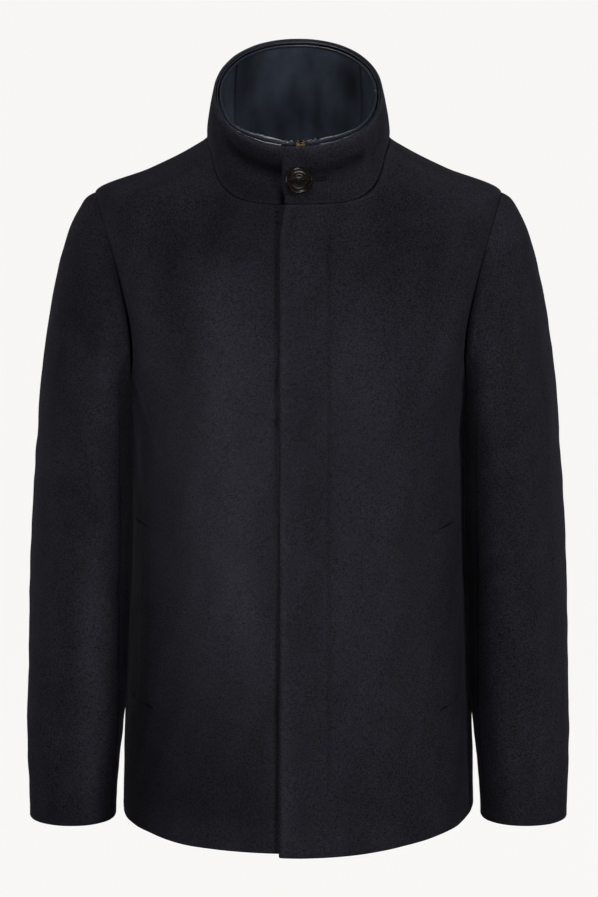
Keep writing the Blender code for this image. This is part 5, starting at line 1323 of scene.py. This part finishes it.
def rimTrim():
    turns = collarTurns(*turnsFromZip(zipSet["trimClear"]), trimSet["step"])
    along = np.linspace(0.0, 1.0, len(turns))
    ends = np.clip(np.minimum(along, 1.0 - along) / trimSet["endTaper"][0], trimSet["endTaper"][1], 1.0)
    front = smoothStep(*trimSet["frontFrom"], np.cos(np.radians(turns)))
    wander = unevenness(np.radians(turns) * collarCut["radius"], 0.0 * turns, *trimSet["uneven"])
    least, more = trimSet["pipeSize"]
    radius = collarCut["pipeRadius"] * ends * (least + more * front)
    level, rises, wanders = trimSet["pipeRise"]
    pipePath = rimPath(bodyCut["wall"] + bodyCut["seamGap"] + collarCut["pipeRadius"],
                       level + rises * front + wanders * wander, turns)
    piping = softTube("satin_piping", *pipePath, radius, radius, sides=trimSet["pipeSides"])
    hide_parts("collar_piping")
    inset = collarCut["innerSet"] + collarCut["innerWall"] / 2.0
    least, more, wanders = trimSet["bandTall"]
    halfHeight = collarCut["bindingHalfHeight"] * (least + more * front) * (1.0 + wanders * wander)
    wide, less = trimSet["bandWide"]
    halfWidth = collarCut["bindingHalfWidth"] * ends * (wide - less * front)
    even, twist, twistAt, twistReach = trimSet["twist"]
    twisted = even + twist * fade(turns - twistAt, twistReach)
    bandPath = rimPath(inset, bindingRise(turns, halfHeight) + trimSet["bandRise"] * front, turns)
    binding = softTube("satin_binding", *bandPath, halfWidth, halfHeight * ends, pucker=twisted)
    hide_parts("collar_binding")
    least, more, swellFrom, swellOver = trimSet["foldSwell"]
    lump, lumps, shift = trimSet["foldLumps"]
    waveSize, waves = trimSet["foldWave"]
    for side, word in bothSides:
        part = np.linspace(0.0, 1.0, trimSet["foldRows"])
        clear = np.interp(part, (0.0, 1.0), zipSet["foldClear"])
        foldTurns = neckTurn(zipSet["across"] + side * clear)
        rise = bindingRise(foldTurns, collarCut["bindingHalfHeight"]) + collarCut["foldRise"][side] * (1.0 - part)
        rise = rise + trimSet["foldLift"] + waveSize * np.sin(part * waves + side)
        swell = least + more * np.sqrt(np.maximum(np.sin(math.pi * (swellFrom + swellOver * part)), 0.0))
        swell = swell * (1.0 + lump * np.sin(part * lumps + shift * side))
        end = softTube("satin_binding_end_" + word, *rimPath(inset, rise, foldTurns),
                       collarCut["foldHalfWidth"] * swell, collarCut["foldHalfHeight"] * swell,
                       sides=trimSet["foldSides"], pucker=trimSet["foldPucker"])
        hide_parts("binding_end_" + word)


rimTrim()
print("piping and binding laid round the rim")


def pocketWelt(name, side, word):
    (top, _, _), (bottom, _, _) = pocketSet["ends"]
    (top0, top1), (low0, low1) = pocketSet[word]
    down, part = np.meshgrid(edgeSpaced(top - bottom, pocketSet["step"]),
                             edgeSpaced(pocketSet["width"], pocketSet["widthStep"]), indexing="ij")
    height = top + (bottom - top) * down
    across = (1.0 - down) * (top0 + (top1 - top0) * part) + down * (low0 + (low1 - low0) * part)
    angle = angleAt(across, height)
    base, normals = bodyPoint(angle, height), bodyNormal(angle, height)
    fromFirst, fromLast, fromTop, fromLow = gridDistances(base)
    # the long edges are sunk, and the welt stands up between them, less at its ends
    stand = pocketSet["stand"] * smoothStep(0.0, pocketSet["standReach"], np.minimum(fromFirst, fromLast))
    stand = -pocketSet["edgeSunk"] + stand
    rising = smoothStep(0.0, pocketSet["endReach"], np.minimum(fromTop, fromLow))
    atEnds = pocketSet["endStand"] + (1.0 - pocketSet["endStand"]) * rising
    out = bodyRelief(side * angle, height) + np.where(stand > 0.0, stand * atEnds, stand)
    points = (base + out[..., None] * normals) * (side, 1, 1)
    cloth = stack(fromFirst * side + pocketSet["weaveFrom"], -fromTop, bodyToneAndPaintedShade(side * angle, height))
    piece = clothShell(name, points, normals * (side, 1, 1), gridFaces(*down.shape), pocketSet["wall"], cloth,
                       np.ones(down.size, bool))
    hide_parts("pocket_welt_" + word)


pocketWelt("wool_pocket_welt_left", 1, "left")
pocketWelt("wool_pocket_welt_right", -1, "right")
print("pocket welts sewn on")


# many small stitches in one mesh: each is a short plump thread between two places
def stitches(name, starts, ends, outs, radius, arch):
    sides, rings = 6, 7
    points, faces = [], []
    for start, end, out in zip(starts, ends, outs):
        side = np.cross(out, unit(end - start))
        faces += ringFaces(len(points), rings, sides)
        for t in np.linspace(0.0, 1.0, rings):
            swell = math.sin(math.pi * t)
            plump = radius * (0.35 + 0.65 * max(swell, 0.0) ** 0.5)
            centre = start + (end - start) * t + out * arch * swell
            for angle in np.linspace(0.0, 2.0 * math.pi, sides, endpoint=False):
                points.append(centre + plump * (math.cos(angle) * side + math.sin(angle) * out))
    return newPiece(name, points, faces, sewingThread)


def flyStitching():
    heights = np.arange(frontSet["flyTop"], frontSet["flyBottom"], -frontSet["stitchPitch"])

    def onFront(level):
        across = np.full_like(level, frontSet["flyStitch"])
        angle = angleAt(across, level)
        normal = bodyNormal(angle, level)
        out = bodyRelief(angle, level) + lapLift(across) - frontSet["threadSunk"]
        return bodyPoint(angle, level) + out[:, None] * normal, normal

    start, outs = onFront(heights)
    end, _ = onFront(heights - frontSet["stitchLength"])
    stitches("fly_stitching", start, end, outs, frontSet["threadRadius"], frontSet["threadArch"])


flyStitching()


def pocketTacks():
    first, last = pocketSet["tackEnds"]
    starts, ends, outs = [], [], []
    for side, word in bothSides:
        for (level, slope, way), (x0, x1) in zip(pocketSet["ends"], pocketSet[word]):
            for across in np.arange(x0 - first, x1, pocketSet["tackPitch"]):
                for store, lift in ((starts, first), (ends, last)):
                    height = np.array(level + slope * (across - (x0 + x1) / 2.0) + way * lift)
                    angle = angleAt(np.array(across + lift * pocketSet["tackSpread"]), height)
                    normal = bodyNormal(angle, height)
                    out = float(bodyRelief(side * angle, height)) - pocketSet["tackSunk"]
                    store.append((bodyPoint(angle, height) + out * normal) * (side, 1, 1))
                outs.append(normal * (side, 1, 1))
    stitches("pocket_end_tacks", starts, ends, outs, pocketSet["threadRadius"], pocketSet["tackArch"])


pocketTacks()


# frame on the collar's front: x across, y up the collar, z out of it
def collarFrame(across, up, out):
    turn = float(neckTurn(across))
    normal = Vector(collarNormal(turn, up))
    place = Vector(collarPoint(turn, up)) + out * normal
    upward = Vector(collarPoint(turn, 1.0) - collarPoint(turn, 0.0))
    upward = (upward - upward.dot(normal) * normal).normalized()
    seat = Matrix((upward.cross(normal), upward, normal)).transposed().to_4x4()
    seat.translation = place
    return seat


# horn button with a raised rim round a dished middle, four holes and crossed threads
buttonSet = {
    "radius": 0.0140, "across": 0.0007, "up": 0.42, "segments": 96, "sharp": 48.0,
    "holeRadius": 0.0010, "holeOffset": 0.0022, "holeSegments": 20, "holeEnds": (-0.002, 0.006),
    "holeEdge": 0.00018, "holeSharp": 50.0, "firstHole": 45.0,
    "profile": (  # share of the radius, height
        (0.30, 0.0000), (0.62, 0.0000), (0.85, 0.0004), (0.94, 0.0007), (0.985, 0.0011), (1.00, 0.0016),
        (0.99, 0.0022), (0.965, 0.0029), (0.93, 0.0035), (0.89, 0.0039), (0.855, 0.0041), (0.825, 0.0040),
        (0.80, 0.0036), (0.775, 0.0031), (0.73, 0.0028), (0.66, 0.00265), (0.63, 0.0026), (0.612, 0.0021),
        (0.588, 0.0021), (0.57, 0.0026), (0.51, 0.0027), (0.445, 0.0026), (0.43, 0.0022), (0.408, 0.0022),
        (0.39, 0.0026), (0.30, 0.0025), (0.20, 0.0023), (0.02, 0.0022),
    ),
    "threadRadius": 0.00034, "threadLift": 0.0020, "crossLift": 0.00025, "threadPast": 0.0002, "strandGap": 0.00052,
    "threadArch": 0.0008,
}


def ringPoints(x, y, radius, height, count):
    angles = [2.0 * math.pi * step / count for step in range(count)]
    return [(x + radius * math.cos(angle), y + radius * math.sin(angle), height) for angle in angles]


def looseShape(name, points, faces):
    mesh = bpy.data.meshes.new(name)
    mesh.from_pydata(points, [], faces)
    shape = bpy.data.objects.new(name, mesh)
    scene.collection.objects.link(shape)
    return shape


def hornButton(seat):
    segments, holeSegments = buttonSet["segments"], buttonSet["holeSegments"]
    points = []
    for share, height in buttonSet["profile"]:
        points += ringPoints(0.0, 0.0, share * buttonSet["radius"], height, segments)
    disc = looseShape("turnedDisc", points, ringFaces(0, len(buttonSet["profile"]), segments))
    cutPoints, cutFaces = [], []
    for corner in range(4):
        centre = math.radians(buttonSet["firstHole"] + 90.0 * corner)
        x, y = buttonSet["holeOffset"] * math.cos(centre), buttonSet["holeOffset"] * math.sin(centre)
        cutFaces += ringFaces(len(cutPoints), 2, holeSegments)
        for height in buttonSet["holeEnds"]:
            cutPoints += ringPoints(x, y, buttonSet["holeRadius"], height, holeSegments)
    cutter = looseShape("buttonHoles", cutPoints, cutFaces)
    drill = disc.modifiers.new("holes", "BOOLEAN")
    drill.operation, drill.solver, drill.object = "DIFFERENCE", "EXACT", cutter
    soften = disc.modifiers.new("holeEdges", "BEVEL")
    soften.width, soften.segments = buttonSet["holeEdge"], 2
    soften.limit_method, soften.angle_limit = "ANGLE", math.radians(buttonSet["holeSharp"])
    drilled = bpy.data.meshes.new_from_object(disc.evaluated_get(bpy.context.evaluated_depsgraph_get()))
    bpy.data.objects.remove(disc)
    bpy.data.objects.remove(cutter)
    drilled.transform(seat)
    button = placePiece("horn_button", drilled, polishedHorn)
    drilled.set_sharp_from_angle(angle=math.radians(buttonSet["sharp"]))
    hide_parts("collar_button")


def buttonThread(seat):
    reach = buttonSet["holeOffset"] + buttonSet["threadPast"]
    starts, ends, outs = [], [], []
    for corner in range(2):
        centre = math.radians(buttonSet["firstHole"] + 90.0 * corner)
        along = Vector((math.cos(centre), math.sin(centre), 0.0))
        cross = Vector((-math.sin(centre), math.cos(centre), 0.0))
        lift = Vector((0.0, 0.0, buttonSet["threadLift"] + buttonSet["crossLift"] * corner))
        for strand in (-1, 0, 1):
            shift = strand * buttonSet["strandGap"]
            starts.append(np.array(seat @ (along * reach + cross * shift + lift)))
            ends.append(np.array(seat @ (along * -reach + cross * shift + lift)))
            outs.append(np.array(seat.to_3x3() @ Vector((0.0, 0.0, 1.0))))
    stitches("button_thread", starts, ends, outs, buttonSet["threadRadius"], buttonSet["threadArch"])


buttonSeat = collarFrame(buttonSet["across"], buttonSet["up"],
                         bodyCut["wall"] + bodyCut["lapGap"] + 2.0 * bodyCut["seamGap"])
hornButton(buttonSeat)
buttonThread(buttonSeat)

# buttonhole beside the button, worked in purl stitches round a slit and fanned out round its end
buttonholeSet = {
    "from": 0.0125, "to": 0.0296, "up": 0.44, "stitch": 0.0024, "pitch": 0.00075,
    "threadRadius": 0.00036, "arch": 0.0003, "slit": 0.00045, "fanSlit": 0.0004,
    "innerLift": 0.00025, "outerLift": 0.00005, "fan": 80.0, "fanStitches": 9,
}


def collarSurface(across, up, extra):
    turn = neckTurn(across)
    normal = collarNormal(turn, up)
    panel = bodyNormal(*neckPlace(turn))
    lift = unit((1.0 - np.asarray(up))[..., None] * panel + np.asarray(up)[..., None] * normal)
    out = np.asarray(collarRelief(turn - 360.0, up) + extra)
    return collarPoint(turn, up) + out[..., None] * normal + lapLift(across)[..., None] * lift, normal


def buttonhole():
    level, tall = buttonholeSet["up"], collarCut["frontTall"]
    across = np.arange(buttonholeSet["from"], buttonholeSet["to"], buttonholeSet["pitch"])
    starts, ends, outs = [], [], []

    def onFan(angle, reach, extra):
        up = np.array(level + reach * math.sin(angle) / tall)
        return collarSurface(np.array(buttonholeSet["to"]) + reach * math.cos(angle), up, extra)

    for sign in (1.0, -1.0):
        near = level + sign * buttonholeSet["slit"] / tall + 0.0 * across
        far = near + sign * buttonholeSet["stitch"] / tall
        start, normal = collarSurface(across, near, buttonholeSet["innerLift"])
        starts += list(start)
        ends += list(collarSurface(across, far, buttonholeSet["outerLift"])[0])
        outs += list(normal)
    fan = buttonholeSet["fan"]
    for angle in np.radians(np.linspace(-fan, fan, buttonholeSet["fanStitches"])):
        start, normal = onFan(angle, buttonholeSet["fanSlit"], buttonholeSet["innerLift"])
        starts.append(start)
        ends.append(onFan(angle, buttonholeSet["stitch"], buttonholeSet["outerLift"])[0])
        outs.append(normal)
    stitches("buttonhole_stitching", starts, ends, outs, buttonholeSet["threadRadius"], buttonholeSet["arch"])


buttonhole()
print("button and buttonhole made")


def zipTapes():
    ribDepth, ribPitch = zipSet["tapeRib"]
    for side, word in bothSides:
        clear, up = np.meshgrid(np.linspace(*zipSet["tapeClear"], zipSet["tapeColumns"]),
                                np.linspace(*zipSet["tapeUp"], zipSet["tapeRows"]))
        turn = neckTurn(zipSet["across"] + side * clear)
        inset = zipSet["inset"] - zipSet["tapeWall"] / 2.0 - ribDepth * np.sin(clear * 2.0 * math.pi / ribPitch)
        points, normals = collarFace(turn, up, inset), collarNormal(turn, up)
        cloth = stack(clear * side, up * collarCut["frontTall"], 0.0)
        piece = clothShell("woven_zip_tape_" + word, points, normals, gridFaces(*clear.shape), zipSet["tapeWall"],
                           cloth, np.zeros(clear.size, bool), zipTape)
        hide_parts("zip_tape_" + word)


zipTapes()


# brass teeth below the slider: each a small block with a nose, gripping the tape's edge
def zipTeeth():
    low, pitch = zipSet["tapeUp"][0], zipSet["toothPitch"]
    tall, size = collarCut["frontTall"], len(zipSet["toothOutline"])
    points, faces = [], []
    for side in (1, -1):
        for tooth in range(int((zipSet["teethTo"] - low) * tall / pitch)):
            up = low + zipSet["teethFrom"] + (tooth + (0.5 if side > 0 else 0.0)) * pitch / tall
            seat = collarFrame(zipSet["across"] + side * zipSet["toothClear"], up, -zipSet["inset"])
            faces += ringFaces(len(points), len(zipSet["toothLayers"]), size)
            for depth, share in zipSet["toothLayers"]:
                for reach, height in zipSet["toothOutline"]:
                    across = -side * reach * share * zipSet["toothLength"] * 0.5 + side * zipSet["toothShift"]
                    points.append(seat @ Vector((across, height * share * zipSet["toothHeight"],
                                                 depth * zipSet["toothThick"] * 0.5)))
    piece = newPiece("brass_zip_teeth", points, faces, tumbledBrass)
    faceOutward(piece)
    piece.data.set_sharp_from_angle(angle=math.radians(zipSet["toothSharp"]))


zipTeeth()


# slider and pull keep their solids' shape, with the edges tumbled round
def roundedBrass(name, node, body, width):
    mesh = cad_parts[node].data.copy()
    shaped = bmesh.new()
    shaped.from_mesh(mesh)
    bmesh.ops.remove_doubles(shaped, verts=shaped.verts, dist=1e-6)
    bmesh.ops.dissolve_limit(shaped, angle_limit=math.radians(1.0), verts=shaped.verts, edges=shaped.edges)
    sharp = [edge for edge in shaped.edges if edge.is_manifold and edge.calc_face_angle() > math.radians(25.0)]
    bmesh.ops.bevel(shaped, geom=sharp, offset=width, segments=3, affect="EDGES", profile=0.5, clamp_overlap=True)
    shaped.to_mesh(mesh)
    shaped.free()
    piece = placePiece(name, mesh, tumbledBrass, body)
    mesh.set_sharp_from_angle(angle=math.radians(zipSet["toothSharp"]))
    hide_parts(node)


roundedBrass("brass_zip_slider", "zip_slider", "coat", zipSet["sliderRound"])
roundedBrass("brass_zip_pull", "zip_pull", "zip_pull", zipSet["pullRound"])
print("zip made")
